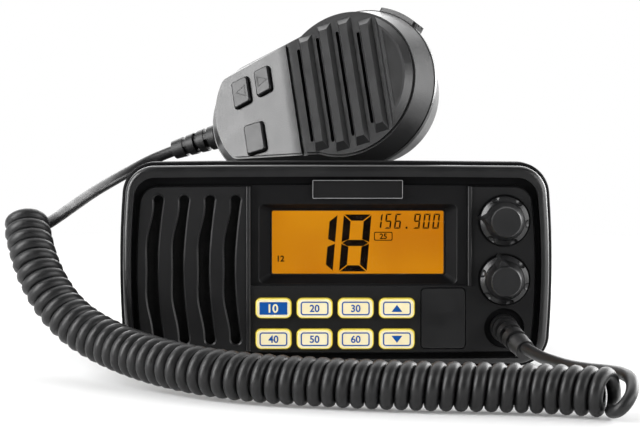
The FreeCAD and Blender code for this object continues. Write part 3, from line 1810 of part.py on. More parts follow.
def handset_pieces():
    down, up = pair_spans()
    pieces = {
        "mic_front_shell": make_mic_front_shell(),
        "mic_back_shell": make_mic_back_shell(),
        "mic_badge": make_mic_badge(),
        "mic_cloth": make_mic_cloth(),
        "mic_capsule": make_capsule(),
        "mic_board": make_mic_board(),
        "mic_button_mat": make_mic_button_mat(),
        "mic_screws": make_mic_screws(),
        "mic_cord_boot": make_handset_relief(),
        "hanger_stud": make_hanger_stud(),
        "ptt_button": make_ptt_button(),
        "ptt_switch": make_ptt_switch(),
        "mic_down_button": make_pair_button(down),
        "mic_up_button": make_pair_button(up),
        "mic_power_button": make_single_button(),
    }
    return pieces


def moved(shape, placement):
    copy = shape.copy()
    copy.Placement = placement.multiply(copy.Placement)
    return copy


def rest_placement(pieces):
    """Turns the microphone onto its side and sets it down on the top cover."""
    turn = FreeCAD.Placement(V(0, 0, 0), FreeCAD.Rotation(mic_yaw, mic_pitch, mic_roll))
    lowest = moved(pieces["mic_back_shell"], turn).optimalBoundingBox(False).ZMin
    lift = FreeCAD.Placement(V(mic_x, mic_y, cover_top + rest_gap - lowest), FreeCAD.Rotation())
    return lift.multiply(turn)


def main():
    lean = FreeCAD.Placement(
        V(0, -footprint_middle, 0),
        FreeCAD.Rotation(V(1, 0, 0), -lean_deg),
        V(0, case_depth, 0),
    )
    radio = radio_pieces()
    handset = handset_pieces()
    handset_place = lean.multiply(rest_placement(handset))
    pieces = {}
    for name, shape in radio.items():
        pieces[name] = moved(shape, lean)
    for name, shape in handset.items():
        pieces[name] = moved(shape, handset_place)
    pieces["cord_lead_mic"] = tube("cord_lead_mic", lead_mic_route, cord_diameter)
    pieces["cord_coil"] = tube("cord_coil", coil_route, coil_diameter)
    pieces["cord_lead_radio"] = tube("cord_lead_radio", lead_radio_route, cord_diameter)

    os.makedirs("parts", exist_ok=True)
    for name, shape in sorted(pieces.items()):
        shape.exportStep("parts/" + name + ".step")
        if not shape.isValid() or len(shape.Solids) == 0:
            print("NOT SOUND", name)


main()
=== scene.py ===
import json
import math

import bmesh
import bpy
from mathutils import Matrix, Vector

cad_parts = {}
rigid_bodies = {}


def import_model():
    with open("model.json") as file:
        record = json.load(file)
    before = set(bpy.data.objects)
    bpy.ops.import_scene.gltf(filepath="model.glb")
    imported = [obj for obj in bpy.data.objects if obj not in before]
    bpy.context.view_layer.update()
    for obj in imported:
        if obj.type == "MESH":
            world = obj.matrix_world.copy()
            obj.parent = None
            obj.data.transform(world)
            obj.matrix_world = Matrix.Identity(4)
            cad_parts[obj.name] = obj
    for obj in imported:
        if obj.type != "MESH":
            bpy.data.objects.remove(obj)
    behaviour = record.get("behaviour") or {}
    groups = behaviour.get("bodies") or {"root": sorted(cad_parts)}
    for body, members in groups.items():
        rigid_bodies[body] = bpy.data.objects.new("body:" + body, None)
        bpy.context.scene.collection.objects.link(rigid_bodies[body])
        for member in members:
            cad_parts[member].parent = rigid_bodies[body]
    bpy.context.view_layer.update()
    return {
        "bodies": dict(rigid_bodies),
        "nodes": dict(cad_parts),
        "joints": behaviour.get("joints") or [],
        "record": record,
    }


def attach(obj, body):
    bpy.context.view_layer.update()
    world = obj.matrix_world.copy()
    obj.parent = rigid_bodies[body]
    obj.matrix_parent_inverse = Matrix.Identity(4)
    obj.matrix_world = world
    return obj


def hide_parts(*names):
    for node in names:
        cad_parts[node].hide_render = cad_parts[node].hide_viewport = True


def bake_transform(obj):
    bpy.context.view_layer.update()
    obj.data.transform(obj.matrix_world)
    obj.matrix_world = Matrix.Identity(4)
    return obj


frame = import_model()
nodes = frame["nodes"]
print("frame loaded:", len(nodes), "pieces")

mm = 0.001
scene = bpy.context.scene
scene.view_settings.view_transform = "Standard"

# How the radio stands: leaned back about the rear foot of its front case, then moved.
stance = {"leanDeg": 3.3736, "pivotY": 17.0, "shiftY": -53.0}


def radioFrame():
    # from millimetres on the upright radio to metres in the scene
    lean = Matrix.Rotation(math.radians(-stance["leanDeg"]), 4, "X")
    pivot = Matrix.Translation((0, stance["pivotY"], 0))
    shift = Matrix.Translation((0, stance["shiftY"], 0))
    return Matrix.Scale(mm, 4) @ shift @ pivot @ lean @ pivot.inverted()


onRadio = radioFrame()

# How the microphone lies on the top cover: middle of its grille, then its turns.
handset = {"middle": (3.76, 1.538, 103.204), "yaw": -21.03, "pitch": -15.73, "roll": 73.81}


def handsetFrame():
    # from millimetres on the microphone's face to metres in the scene
    lean = Matrix.Rotation(math.radians(-stance["leanDeg"]), 4, "X")
    yaw = Matrix.Rotation(math.radians(handset["yaw"]), 4, "Z")
    pitch = Matrix.Rotation(math.radians(handset["pitch"]), 4, "Y")
    roll = Matrix.Rotation(math.radians(handset["roll"]), 4, "X")
    place = Matrix.Translation(handset["middle"])
    return Matrix.Scale(mm, 4) @ place @ lean @ yaw @ pitch @ roll


onHandset = handsetFrame()

view = {"place": (-0.0059, -1.126, 0.166), "downDeg": 5.88, "lens": 165.2, "sensor": 36.0, "farEnd": 30.0}


def setCamera():
    data = bpy.data.cameras.new("frontView")
    data.lens = view["lens"]
    data.sensor_width = view["sensor"]
    data.clip_end = view["farEnd"]
    camera = bpy.data.objects.new("frontView", data)
    camera.location = view["place"]
    camera.rotation_euler = (math.radians(90 - view["downDeg"]), 0, 0)
    scene.collection.objects.link(camera)
    scene.camera = camera


setCamera()


def newPiece(name, mesh, body):
    piece = bpy.data.objects.new(name, mesh)
    scene.collection.objects.link(piece)
    if body:
        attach(piece, body)
    return piece


# Routes of the microphone cord, in metres, from one strain relief to the other.
micLeadRoute = (
    (-0.0611, 0.0432, 0.0752), (-0.0716, 0.0460, 0.0711), (-0.0796, 0.0436, 0.0670),
    (-0.0879, 0.0340, 0.0629), (-0.0945, 0.0190, 0.0597), (-0.0994, 0.0015, 0.0570),
    (-0.1038, -0.0155, 0.0545), (-0.1082, -0.0280, 0.0520), (-0.1146, -0.0352, 0.0497),
    (-0.1200, -0.0385, 0.0516),
)
coilRoute = (
    (-0.1152, -0.0405, 0.0544), (-0.1120, -0.0510, 0.0430), (-0.1065, -0.0590, 0.0325),
    (-0.0998, -0.0655, 0.0240), (-0.0908, -0.0730, 0.0176), (-0.0776, -0.0846, 0.0129),
    (-0.0622, -0.1020, 0.0106), (-0.0467, -0.1158, 0.0096), (-0.0302, -0.1262, 0.0091),
    (-0.0092, -0.1339, 0.0089), (0.0143, -0.1400, 0.0088), (0.0348, -0.1436, 0.0088),
    (0.0553, -0.1456, 0.0088), (0.0743, -0.1495, 0.0088), (0.0918, -0.1569, 0.0088),
)
radioLeadRoute = (
    (0.0669, -0.0731, 0.0123), (0.0724, -0.0865, 0.0104), (0.0762, -0.0985, 0.0106),
    (0.0802, -0.1120, 0.0110), (0.0850, -0.1250, 0.0119), (0.0908, -0.1366, 0.0130),
    (0.0958, -0.1458, 0.0138), (0.0985, -0.1550, 0.0132), (0.0978, -0.1632, 0.0096),
    (0.0946, -0.1665, 0.0056), (0.0918, -0.1640, 0.0030), (0.0907, -0.1573, 0.0028),
)
# Thicknesses and the turns' radius in metres; reaches, swell and points are counted along the line.
cordLook = {
    "wire": 0.0044, "coilWire": 0.0050, "coilRadius": 0.00610, "turns": 53, "closer": 0.07,
    "turnPoints": 22, "around": 14, "swell": 12, "routePoints": 24,
    "leadStep": 0.0012, "exit": (0.0682, -0.0756, 0.0111),
    "easeReach": 9, "easeRounds": 4, "easeShare": 0.5,
    "blendLow": (0, -0.030, 0.055), "blendHigh": (0, 0.009, 0.094),
}


def readRoute(name, points, look):
    # the smooth line of a route, read from its spline before it has any thickness
    curve = bpy.data.curves.new(name, "CURVE")
    curve.dimensions = "3D"
    curve.resolution_u = look["routePoints"]
    spline = curve.splines.new("NURBS")
    spline.points.add(len(points) - 1)
    for control, point in zip(spline.points, points):
        control.co = (*point, 1)
    spline.order_u = 3
    spline.use_endpoint_u = True
    holder = bpy.data.objects.new(name, curve)
    mesh = bpy.data.meshes.new_from_object(holder)
    line = [v.co.copy() for v in mesh.vertices]
    bpy.data.objects.remove(holder)
    bpy.data.meshes.remove(mesh)
    return line


def lineLength(line):
    return sum((b - a).length for a, b in zip(line, line[1:]))


def evenLine(line, count):
    # the same line in equal steps
    step = lineLength(line) / count
    even, walked, due = [line[0].copy()], 0.0, step
    for a, b in zip(line, line[1:]):
        run = (b - a).length
        while walked + run >= due - 1e-9 and len(even) <= count:  # a hair of slack for rounding
            even.append(a.lerp(b, (due - walked) / run if run else 0.0))
            due += step
        walked += run
    return even


def carriedFrames(line):
    # a direction, a side and an up at each point, carried along without twisting
    frames, side = [], None
    for i, point in enumerate(line):
        ahead = line[min(i + 1, len(line) - 1)] - line[max(i - 1, 0)]
        ahead.normalize()
        side = ahead.orthogonal() if side is None else side - ahead * side.dot(ahead)
        side = side.normalized()
        frames.append((point, ahead, side, ahead.cross(side)))
    return frames


def curlyLine(axis, fromEnd, toEnd, look):
    # turns wound left-handed about the axis, from one lead's end round to the other's
    count = look["turns"] * look["turnPoints"]
    frames = carriedFrames(evenLine(axis, count))
    angles = []
    for (middle, _, side, up), end in ((frames[0], fromEnd), (frames[-1], toEnd)):
        out = end - middle
        angles.append(math.atan2(out.dot(up), out.dot(side)))
    turned = look["turns"] * math.tau + (angles[0] - angles[1]) % math.tau
    line = []
    for i, (middle, _, side, up) in enumerate(frames):
        share = i / (len(frames) - 1)
        # the turns lie a little closer at the microphone's end
        angle = angles[0] - turned * (share + look["closer"] * share * (1 - share))
        line.append(middle + look["coilRadius"] * (math.cos(angle) * side + math.sin(angle) * up))
    return line


def easedJoint(line, middle, look):
    # takes the small kink out of the line where two parts of the cord meet
    reach = look["easeReach"]
    for _ in range(look["easeRounds"]):
        old = [p.copy() for p in line]
        for i in range(max(1, middle - reach), min(len(line) - 1, middle + reach)):
            share = look["easeShare"] * (1 - ((i - middle) / reach) ** 2)
            line[i] = old[i].lerp((old[i - 1] + old[i + 1]) / 2, share)
    return line


def wireRadii(count, start, end, look):
    # thinner in the two leads than in the turns, which are set in the moulding heat
    radii = []
    for i in range(count):
        # half of the swell falls on each side of where the turns begin and end
        inside = 0.5 + min(i - start, end - i) / look["swell"] / 2
        share = min(max(inside, 0.0), 1.0)
        radii.append((look["wire"] + (look["coilWire"] - look["wire"]) * share) / 2)
    return radii


def tubeMesh(name, line, radii, around):
    mesh = bpy.data.meshes.new(name)
    bm = bmesh.new()
    rings = []
    for radius, (middle, _, side, up) in zip(radii, carriedFrames(line)):
        turns = (math.tau * k / around for k in range(around))
        rings.append([bm.verts.new(middle + radius * (math.cos(t) * side + math.sin(t) * up)) for t in turns])
    for low, high in zip(rings, rings[1:]):
        for k in range(around):
            n = (k + 1) % around
            bm.faces.new((low[k], low[n], high[n], high[k]))
    bm.faces.new(list(reversed(rings[0])))
    bm.faces.new(rings[-1])
    for face in bm.faces:
        face.smooth = len(face.verts) == 4
    bm.to_mesh(mesh)
    bm.free()
    return mesh


def makeCord(look):
    micLead = readRoute("micLead", micLeadRoute, look)
    axis = readRoute("coilAxis", coilRoute, look)
    radioLead = readRoute("radioLead", radioLeadRoute, look)
    micLead = evenLine(micLead, round(lineLength(micLead) / look["leadStep"]))
    radioLead = evenLine(radioLead, round(lineLength(radioLead) / look["leadStep"]))
    coil = curlyLine(axis, micLead[-1], radioLead[-1], look)
    line = easedJoint(micLead[:-1] + coil, len(micLead) - 1, look)
    joint = len(line) - 1
    line = easedJoint(line + list(reversed(radioLead))[1:], joint, look)
    radii = wireRadii(len(line), len(micLead), joint, look)
    piece = newPiece("cord", tubeMesh("cord", line, radii, look["around"]), None)
    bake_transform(piece)
    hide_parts("cord_lead_mic", "cord_coil", "cord_lead_radio")
    print("cord length along the wire:", round(lineLength(line), 3), "m in", look["turns"], "turns")
    return piece


cord = makeCord(cordLook)


def addNode(tree, kind, inputs=None, **settings):
    made = tree.nodes.new(kind)
    for name, value in settings.items():
        setattr(made, name, value)
    for name, value in (inputs or {}).items():
        if isinstance(value, bpy.types.NodeSocket):
            tree.links.new(value, made.inputs[name])
        else:
            made.inputs[name].default_value = value
    return made


# How finely each kind of pattern is broken up.
noiseDetail = {"cloud": 4.0, "smear": 5.0, "grain": 2.0, "patch": 1.0}


def noise(tree, where, size, kind):
    # size is that of one patch, in metres
    inputs = {"Vector": where, "Scale": 1 / size, "Detail": noiseDetail[kind]}
    return addNode(tree, "ShaderNodeTexNoise", inputs).outputs["Fac"]


def ranged(tree, value, low, high, fromLow=0.3, fromHigh=0.7):
    ends = {"Value": value, "From Min": fromLow, "From Max": fromHigh, "To Min": low, "To Max": high}
    return addNode(tree, "ShaderNodeMapRange", ends).outputs["Result"]


def mixed(tree, share, first, second):
    colours = {0: share, 6: (*first, 1), 7: (*second, 1)}
    return addNode(tree, "ShaderNodeMix", colours, data_type="RGBA").outputs[2]


def reachAlong(tree, frame, direction, start, end):
    # 0 to 1 along one direction of the radio or the microphone, from start to end in its millimetres
    where = addNode(tree, "ShaderNodeTexCoord").outputs["Object"]
    axis = (frame.to_3x3() @ Vector(direction)).normalized()
    run = addNode(tree, "ShaderNodeVectorMath", {0: where, 1: axis}, operation="DOT_PRODUCT").outputs["Value"]
    base = axis.dot(frame @ Vector((0, 0, 0)))
    return ranged(tree, run, 0, 1, base + start * mm, base + end * mm)


# Cosine of a face's turn away from a direction, where the face starts to count and where it counts in full.
facingLimits = (0.90, 0.985)


def facingShare(tree, frame, direction):
    # 1 on faces that look along the direction, 0 on those that turn away from it
    facing = addNode(tree, "ShaderNodeNewGeometry").outputs["Normal"]
    axis = (frame.to_3x3() @ Vector(direction)).normalized()
    turn = addNode(tree, "ShaderNodeVectorMath", {0: facing, 1: axis}, operation="DOT_PRODUCT").outputs["Value"]
    return ranged(tree, turn, 0, 1, *facingLimits)


def dullFinish(tree, smear, rough, look):
    # spark-eroded flat faces are duller than the edges round them, and deep recesses duller still
    dull = look["dull"]
    flat = reachAlong(tree, dull["frame"], dull["along"], *dull["flatFrom"])
    facing = facingShare(tree, dull["frame"], dull["facing"])
    share = addNode(tree, "ShaderNodeMath", {0: flat, 1: facing}, operation="MULTIPLY").outputs[0]
    level = ranged(tree, share, look["specular"], dull["specular"], 0, 1)
    if "deepFrom" in dull:
        deep = reachAlong(tree, dull["frame"], dull["along"], *dull["deepFrom"])
        level = addNode(tree, "ShaderNodeMix", {0: deep, 2: level, 3: dull["deepSpecular"]}).outputs[0]
        share = addNode(tree, "ShaderNodeMath", {0: share, 1: deep}, operation="MAXIMUM").outputs[0]
    eroded = ranged(tree, smear, *dull["rough"])
    return addNode(tree, "ShaderNodeMix", {0: share, 2: rough, 3: eroded}).outputs[0], level


def newMaterial(name):
    # the material, its nodes, its shader and the place on the object that its patterns follow
    mat = bpy.data.materials.new(name)
    mat.use_nodes = True
    tree = mat.node_tree
    where = addNode(tree, "ShaderNodeTexCoord").outputs["Object"]
    return mat, tree, tree.nodes["Principled BSDF"], where


def roughen(tree, shader, height, strength, depth):
    # a bump from the height pattern, depth in metres
    bump = addNode(tree, "ShaderNodeBump", {"Height": height, "Strength": strength, "Distance": depth})
    tree.links.new(bump.outputs[0], shader.inputs["Normal"])


# What a finish has where it says nothing else; clouds and smears in metres, grain depth as a share of its size.
plainFinish = {"cloud": 0.02, "smear": 0.006, "specular": 0.5, "bump": 0.3, "metal": 0.0, "grainDepth": 0.3}


def finish(name, changes):
    # a moulded, painted or plated finish: two near colours in clouds, a gloss that varies, and grain
    look = {**plainFinish, **changes}
    mat, tree, shader, where = newMaterial(name)
    cloud = noise(tree, where, look["cloud"], "cloud")
    colour = mixed(tree, ranged(tree, cloud, 0, 1), look["colour"], look["other"])
    tree.links.new(colour, shader.inputs["Base Color"])
    smear = noise(tree, where, look["smear"], "smear")
    rough = ranged(tree, smear, *look["rough"])
    shader.inputs["Specular IOR Level"].default_value = look["specular"]
    if "dull" in look:
        rough, level = dullFinish(tree, smear, rough, look)
        tree.links.new(level, shader.inputs["Specular IOR Level"])
    tree.links.new(rough, shader.inputs["Roughness"])
    grain = noise(tree, where, look["grain"], "grain")
    roughen(tree, shader, grain, look["bump"], look["grain"] * look["grainDepth"])
    shader.inputs["Metallic"].default_value = look["metal"]
    return mat


# Patch and grain sizes are in metres, flatFrom and deepFrom in millimetres along their direction.
finishes = {
    "case_plastic": {"colour": (0.0040, 0.0040, 0.0044), "other": (0.0056, 0.0056, 0.0060),
                     "rough": (0.28, 0.38), "grain": 0.00035, "bump": 0.20, "specular": 0.6,
                     "dull": {"rough": (0.46, 0.58), "specular": 0.28, "frame": onRadio, "along": (0, 1, 0),
                              "facing": (0, -1, 0), "flatFrom": (1.0, 1.6), "deepFrom": (2.5, 3.3),
                              "deepSpecular": 0.06}},
    "handset_plastic": {"colour": (0.012, 0.012, 0.0125), "other": (0.018, 0.018, 0.0185),
                        "rough": (0.32, 0.37), "grain": 0.00045, "bump": 0.40, "specular": 0.7,
                        "dull": {"rough": (0.50, 0.60), "specular": 0.25, "frame": onHandset,
                                 "along": (1, 0, 0), "facing": (0, 0, 1), "flatFrom": (-26.0, -20.0)}},
    "button_plastic": {"colour": (0.006, 0.006, 0.0065), "other": (0.010, 0.010, 0.0105),
                       "rough": (0.28, 0.38), "grain": 0.00030, "bump": 0.15},
    "silicone": {"colour": (0.020, 0.020, 0.021), "other": (0.030, 0.030, 0.031),
                 "rough": (0.55, 0.70), "grain": 0.00025},
    "cord_rubber": {"colour": (0.005, 0.005, 0.0054), "other": (0.008, 0.008, 0.0084),
                    "rough": (0.38, 0.48), "grain": 0.00030, "bump": 0.18, "specular": 0.42},
    "cast_alloy": {"colour": (0.016, 0.016, 0.017), "other": (0.026, 0.026, 0.027),
                   "rough": (0.45, 0.62), "grain": 0.00060, "bump": 0.45},
    "cover_metal": {"colour": (0.018, 0.018, 0.019), "other": (0.026, 0.026, 0.027),
                    "rough": (0.40, 0.55), "grain": 0.00050, "bump": 0.35},
    "board_green": {"colour": (0.010, 0.100, 0.035), "other": (0.016, 0.140, 0.050),
                    "rough": (0.25, 0.40), "grain": 0.00080, "cloud": 0.004},
    "tin": {"colour": (0.62, 0.62, 0.60), "other": (0.70, 0.70, 0.68), "metal": 1.0,
            "rough": (0.28, 0.42), "grain": 0.00050},
    "steel": {"colour": (0.30, 0.30, 0.305), "other": (0.36, 0.36, 0.365), "metal": 1.0,
              "rough": (0.25, 0.40), "grain": 0.00040},
    "brass": {"colour": (0.72, 0.50, 0.20), "other": (0.80, 0.58, 0.26), "metal": 1.0,
              "rough": (0.25, 0.40), "grain": 0.00040},
    "nickel": {"colour": (0.62, 0.60, 0.56), "other": (0.70, 0.68, 0.64), "metal": 1.0,
               "rough": (0.16, 0.30), "grain": 0.00040},
    "cone_black": {"colour": (0.012, 0.012, 0.012), "other": (0.020, 0.020, 0.020),
                   "rough": (0.70, 0.85), "grain": 0.00040},
    "component": {"colour": (0.015, 0.015, 0.016), "other": (0.030, 0.030, 0.031),
                  "rough": (0.45, 0.60), "grain": 0.00040},
    "badge_metal": {"colour": (0.0024, 0.0024, 0.0026), "other": (0.0040, 0.0040, 0.0042),
                    "rough": (0.50, 0.60), "grain": 0.00020, "bump": 0.10, "specular": 0.25},
    # inks and thin edges, for pieces made further down
    "keyInk": {"colour": (0.001, 0.066, 0.290), "other": (0.00115, 0.0759, 0.3335),
               "rough": (0.45, 0.55), "grain": 0.00020, "bump": 0.10, "specular": 0.2},
    "displayInk": {"colour": (0.012, 0.006, 0.003), "other": (0.007, 0.004, 0.002),
                   "rough": (0.55, 0.65), "grain": 0.00020, "bump": 0.05, "specular": 0.05},
    "plateEdge": {"colour": (0.20, 0.20, 0.205), "other": (0.28, 0.28, 0.285),
                  "rough": (0.30, 0.40), "grain": 0.00020, "bump": 0.10},
    "windowEdge": {"colour": (0.030, 0.030, 0.031), "other": (0.045, 0.045, 0.046),
                   "rough": (0.22, 0.30), "grain": 0.00020, "bump": 0.10},
    "arrowInk": {"colour": (0.006, 0.006, 0.006), "other": (0.010, 0.010, 0.010),
                 "rough": (0.40, 0.50), "grain": 0.00020, "bump": 0.10},
    "cloth": {"colour": (0.004, 0.004, 0.004), "other": (0.007, 0.007, 0.007),
              "rough": (0.80, 0.92), "grain": 0.00030, "specular": 0.2},
}
materials = {slot: finish(slot, look) for slot, look in finishes.items()}

weaveLook = {"threads": 600.0, "bump": 0.8, "depth": 0.0002}


def weaveCloth(mat, look):
    # black grille cloth: two sets of threads that cross
    tree = mat.node_tree
    where = addNode(tree, "ShaderNodeTexCoord").outputs["Object"]
    sets = []
    for direction in ("X", "Z"):
        waves = {"Vector": where, "Scale": look["threads"]}
        sets.append(addNode(tree, "ShaderNodeTexWave", waves, bands_direction=direction).outputs["Fac"])
    weave = addNode(tree, "ShaderNodeMath", {0: sets[0], 1: sets[1]}, operation="MULTIPLY").outputs[0]
    roughen(tree, tree.nodes["Principled BSDF"], weave, look["bump"], look["depth"])


weaveCloth(materials["cloth"], weaveLook)

lensLook = {"smudge": 0.012, "rough": (0.0, 0.06), "bend": 1.20}


def clearLens(look):
    # clear moulded window in front of the display, with faint handling marks
    mat, tree, shader, where = newMaterial("lens")
    smudge = noise(tree, where, look["smudge"], "smear")
    tree.links.new(ranged(tree, smudge, *look["rough"]), shader.inputs["Roughness"])
    shader.inputs["Base Color"].default_value = (1, 1, 1, 1)
    shader.inputs["Transmission Weight"].default_value = 1.0
    shader.inputs["IOR"].default_value = look["bend"]
    return mat


materials["lens"] = clearLens(lensLook)

displayLook = {
    "amber": (0.62, 0.235, 0.003), "weaker": (0.52, 0.170, 0.002), "strength": 1.0, "patch": 0.03,
    "patchRange": (0.35, 0.65), "unlit": (0.02, 0.008, 0.0, 1), "specular": 0.1, "rough": 0.6,
}


def litDisplay(look):
    # amber light from behind, a little weaker in patches
    mat, tree, shader, where = newMaterial("display")
    patch = noise(tree, where, look["patch"], "patch")
    colour = mixed(tree, ranged(tree, patch, 0, 1, *look["patchRange"]), look["weaker"], look["amber"])
    tree.links.new(colour, shader.inputs["Emission Color"])
    shader.inputs["Emission Strength"].default_value = look["strength"]
    shader.inputs["Base Color"].default_value = look["unlit"]
    shader.inputs["Specular IOR Level"].default_value = look["specular"]
    shader.inputs["Roughness"].default_value = look["rough"]
    return mat


materials["display"] = litDisplay(displayLook)

keyLook = {
    "rim": {"colour": (0.55, 0.45, 0.12), "other": (0.60, 0.50, 0.16), "glow": (0.80, 0.62, 0.03),
            "otherGlow": (0.86, 0.70, 0.06), "strength": 0.50},
    "face": {"colour": (0.62, 0.55, 0.36), "other": (0.66, 0.60, 0.42), "glow": (0.58, 0.50, 0.24),
             "otherGlow": (0.56, 0.50, 0.28), "strength": 0.44},
    "patch": 0.006, "grain": 0.0003, "bump": 0.15, "depth": 0.0001, "rough": 0.38,
}


def litPlastic(name, look, tint):
    # translucent key plastic with a lamp behind it
    mat, tree, shader, where = newMaterial(name)
    patch = ranged(tree, noise(tree, where, look["patch"], "grain"), 0, 1)
    tree.links.new(mixed(tree, patch, tint["colour"], tint["other"]), shader.inputs["Base Color"])
    tree.links.new(mixed(tree, patch, tint["glow"], tint["otherGlow"]), shader.inputs["Emission Color"])
    shader.inputs["Emission Strength"].default_value = tint["strength"]
    roughen(tree, shader, noise(tree, where, look["grain"], "grain"), look["bump"], look["depth"])
    shader.inputs["Roughness"].default_value = look["rough"]
    return mat


materials["key_plastic"] = litPlastic("keyRim", keyLook, keyLook["rim"])
materials["keyFace"] = litPlastic("keyFace", keyLook, keyLook["face"])
cord.data.materials.append(materials["cord_rubber"])


def dressNodes():
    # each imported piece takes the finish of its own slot
    for node in nodes.values():
        for place in node.material_slots:
            slot = place.material.name.split(".")[0]
            place.material = materials[slot]


dressNodes()
print("finishes on:", len(materials))


def roundedRect(width, height, radius, steps=6):
    points = []
    for quarter, (sx, sz) in enumerate(((1, 1), (-1, 1), (-1, -1), (1, -1))):
        cx, cz = sx * (width / 2 - radius), sz * (height / 2 - radius)
        for k in range(steps + 1):
            angle = (quarter + k / steps) * math.pi / 2
            points.append((cx + radius * math.cos(angle), cz + radius * math.sin(angle)))
    return points


def slab(bm, outline, centre, back, front, slot=0):
    # a flat print or plate on the front: outline in x and z, back and front in y
    loops = []
    for y in (front, back):
        loops.append([bm.verts.new((centre[0] + u, y, centre[1] + v)) for u, v in outline])
    ahead, behind = loops
    faces = [bm.faces.new(ahead), bm.faces.new(list(reversed(behind)))]
    for i in range(len(outline)):
        n = (i + 1) % len(outline)
        faces.append(bm.faces.new((ahead[i], behind[i], behind[n], ahead[n])))
    for face in faces:
        face.material_index = slot


def ring(bm, outer, inner, centre, back, front, slot=0):
    loops = []
    for outline in (outer, inner):
        for y in (front, back):
            loops.append([bm.verts.new((centre[0] + u, y, centre[1] + v)) for u, v in outline])
    outFront, outBack, inFront, inBack = loops
    count = len(outer)
    for i in range(count):
        n = (i + 1) % count
        for quad in ((outFront[i], outFront[n], inFront[n], inFront[i]),
                     (outBack[n], outBack[i], inBack[i], inBack[n]),
                     (outFront[n], outFront[i], outBack[i], outBack[n]),
                     (inFront[i], inFront[n], inBack[n], inBack[i])):
            bm.faces.new(quad).material_index = slot


def figures(bm, text, height, centre, back, front, slot, bold):
    # plain figures in a flat raised print
    curve = bpy.data.curves.new("figures", "FONT")
    curve.body = text
    curve.extrude = 0.5  # any depth does, because each point is moved to the front or the back below
    curve.offset = bold
    holder = bpy.data.objects.new("figures", curve)
    mesh = bpy.data.meshes.new_from_object(holder)
    xs = [v.co.x for v in mesh.vertices]
    ys = [v.co.y for v in mesh.vertices]
    scale = height / (max(ys) - min(ys))
    midX, midY = (max(xs) + min(xs)) / 2, (max(ys) + min(ys)) / 2
    made = []
    for v in mesh.vertices:
        y = front if v.co.z > 0 else back
        u, w = (v.co.x - midX) * scale, (v.co.y - midY) * scale
        made.append(bm.verts.new((centre[0] + u, y, centre[1] + w)))
    for polygon in mesh.polygons:
        face = bm.faces.new([made[i] for i in polygon.vertices])
        face.material_index = slot
    bpy.data.objects.remove(holder)
    bpy.data.meshes.remove(mesh)


def placed(bm, name, matrix):
    bmesh.ops.recalc_face_normals(bm, faces=bm.faces)
    bm.transform(matrix)
    mesh = bpy.data.meshes.new(name)
    bm.to_mesh(mesh)
    bm.free()
    return mesh


# Strokes of a seven-stroke figure, lettered as on any such display.
strokesOf = {"0": "abcdef", "1": "bc", "2": "abged", "5": "afgcd", "6": "afgedc", "8": "abcdefg", "9": "abcdfg"}


def strokeShapes(look):
    # outline of each stroke of a figure that stands on (0, 0); the bars are a little thinner than the sides
    width, height, thick, gap = look["width"], look["height"], look["thick"], look["gap"]
    middle = height / 2
    bar = thick * look["barShare"]
    half, point = bar / 2, thick * look["pointShare"] + gap
    left = {
        "f": [(0, height - gap), (thick, height - bar - gap), (thick, middle + half + gap), (0, middle + gap)],
        "e": [(0, middle - gap), (thick, middle - half - gap), (thick, bar + gap), (0, gap)],
    }
    mirror = {new: [(width - u, v) for u, v in left[old]] for old, new in (("f", "b"), ("e", "c"))}
    near, far = thick + gap, width - thick - gap
    bars = {
        "a": [(gap, height), (width - gap, height), (far, height - bar), (near, height - bar)],
        "d": [(gap, 0), (width - gap, 0), (far, bar), (near, bar)],
        "g": [(gap, middle), (point, middle + half), (width - point, middle + half), (width - gap, middle),
              (width - point, middle - half), (point, middle - half)],
    }
    return {**left, **mirror, **bars}


# In millimetres on the upright radio: x to the right, z up, back and front along y.
digitsLook = {
    "back": 8.81, "front": 8.73,
    "big": {"text": "18", "x": (-11.5, 1.15), "z": 35.3, "width": 10.3, "height": 21.2, "thick": 2.75,
            "gap": 0.28, "slant": 0.085, "barShare": 0.84, "pointShare": 0.7},
    "small": {"text": "156.900", "x": 14.4, "pitch": 3.55, "z": 51.2, "width": 2.4, "height": 5.6,
              "thick": 0.62, "gap": 0.10, "slant": 0.12, "barShare": 0.84, "pointShare": 0.7,
              "dot": 0.744, "dotCorner": 0.1488},
    "box": {"text": "25", "centre": (17.6, 48.4), "size": (6.9, 3.3), "line": 0.34, "corner": 0.6,
            "innerCorner": 0.4, "textHeight": 2.116},
    "mark": {"text": "12", "centre": (-20.4, 40.1), "textHeight": 2.3}, "bold": 0.03,
}


def figureStrokes(bm, places, look, back, front):
    shapes = strokeShapes(look)
    for character, x in zip(look["text"], places):
        if character == ".":
            dot = look["dot"]
            centre = (x + look["width"] / 2, look["z"] + dot / 2)
            slab(bm, roundedRect(dot, dot, look["dotCorner"], 2), centre, back, front)
            continue
        for stroke in strokesOf[character]:
            outline = [(u + look["slant"] * v, v) for u, v in shapes[stroke]]
            slab(bm, outline, (x, look["z"]), back, front)


def makeDigits(look):
    # what the display shows: a channel, a frequency and two small marks
    bm = bmesh.new()
    back, front = look["back"], look["front"]
    big, small, box, mark = look["big"], look["small"], look["box"], look["mark"]
    figureStrokes(bm, big["x"], big, back, front)
    places = [small["x"] + i * small["pitch"] for i in range(len(small["text"]))]
    figureStrokes(bm, places, small, back, front)
    wide, high = box["size"]
    trim = 2 * box["line"]
    outer = roundedRect(wide, high, box["corner"])
    inner = roundedRect(wide - trim, high - trim, box["innerCorner"])
    ring(bm, outer, inner, box["centre"], back, front)
    for note in (box, mark):
        figures(bm, note["text"], note["textHeight"], note["centre"], back, front, 0, look["bold"])
    piece = newPiece("displayFigures", placed(bm, "displayFigures", onRadio), "radio")
    piece.data.materials.append(materials["displayInk"])


makeDigits(digitsLook)

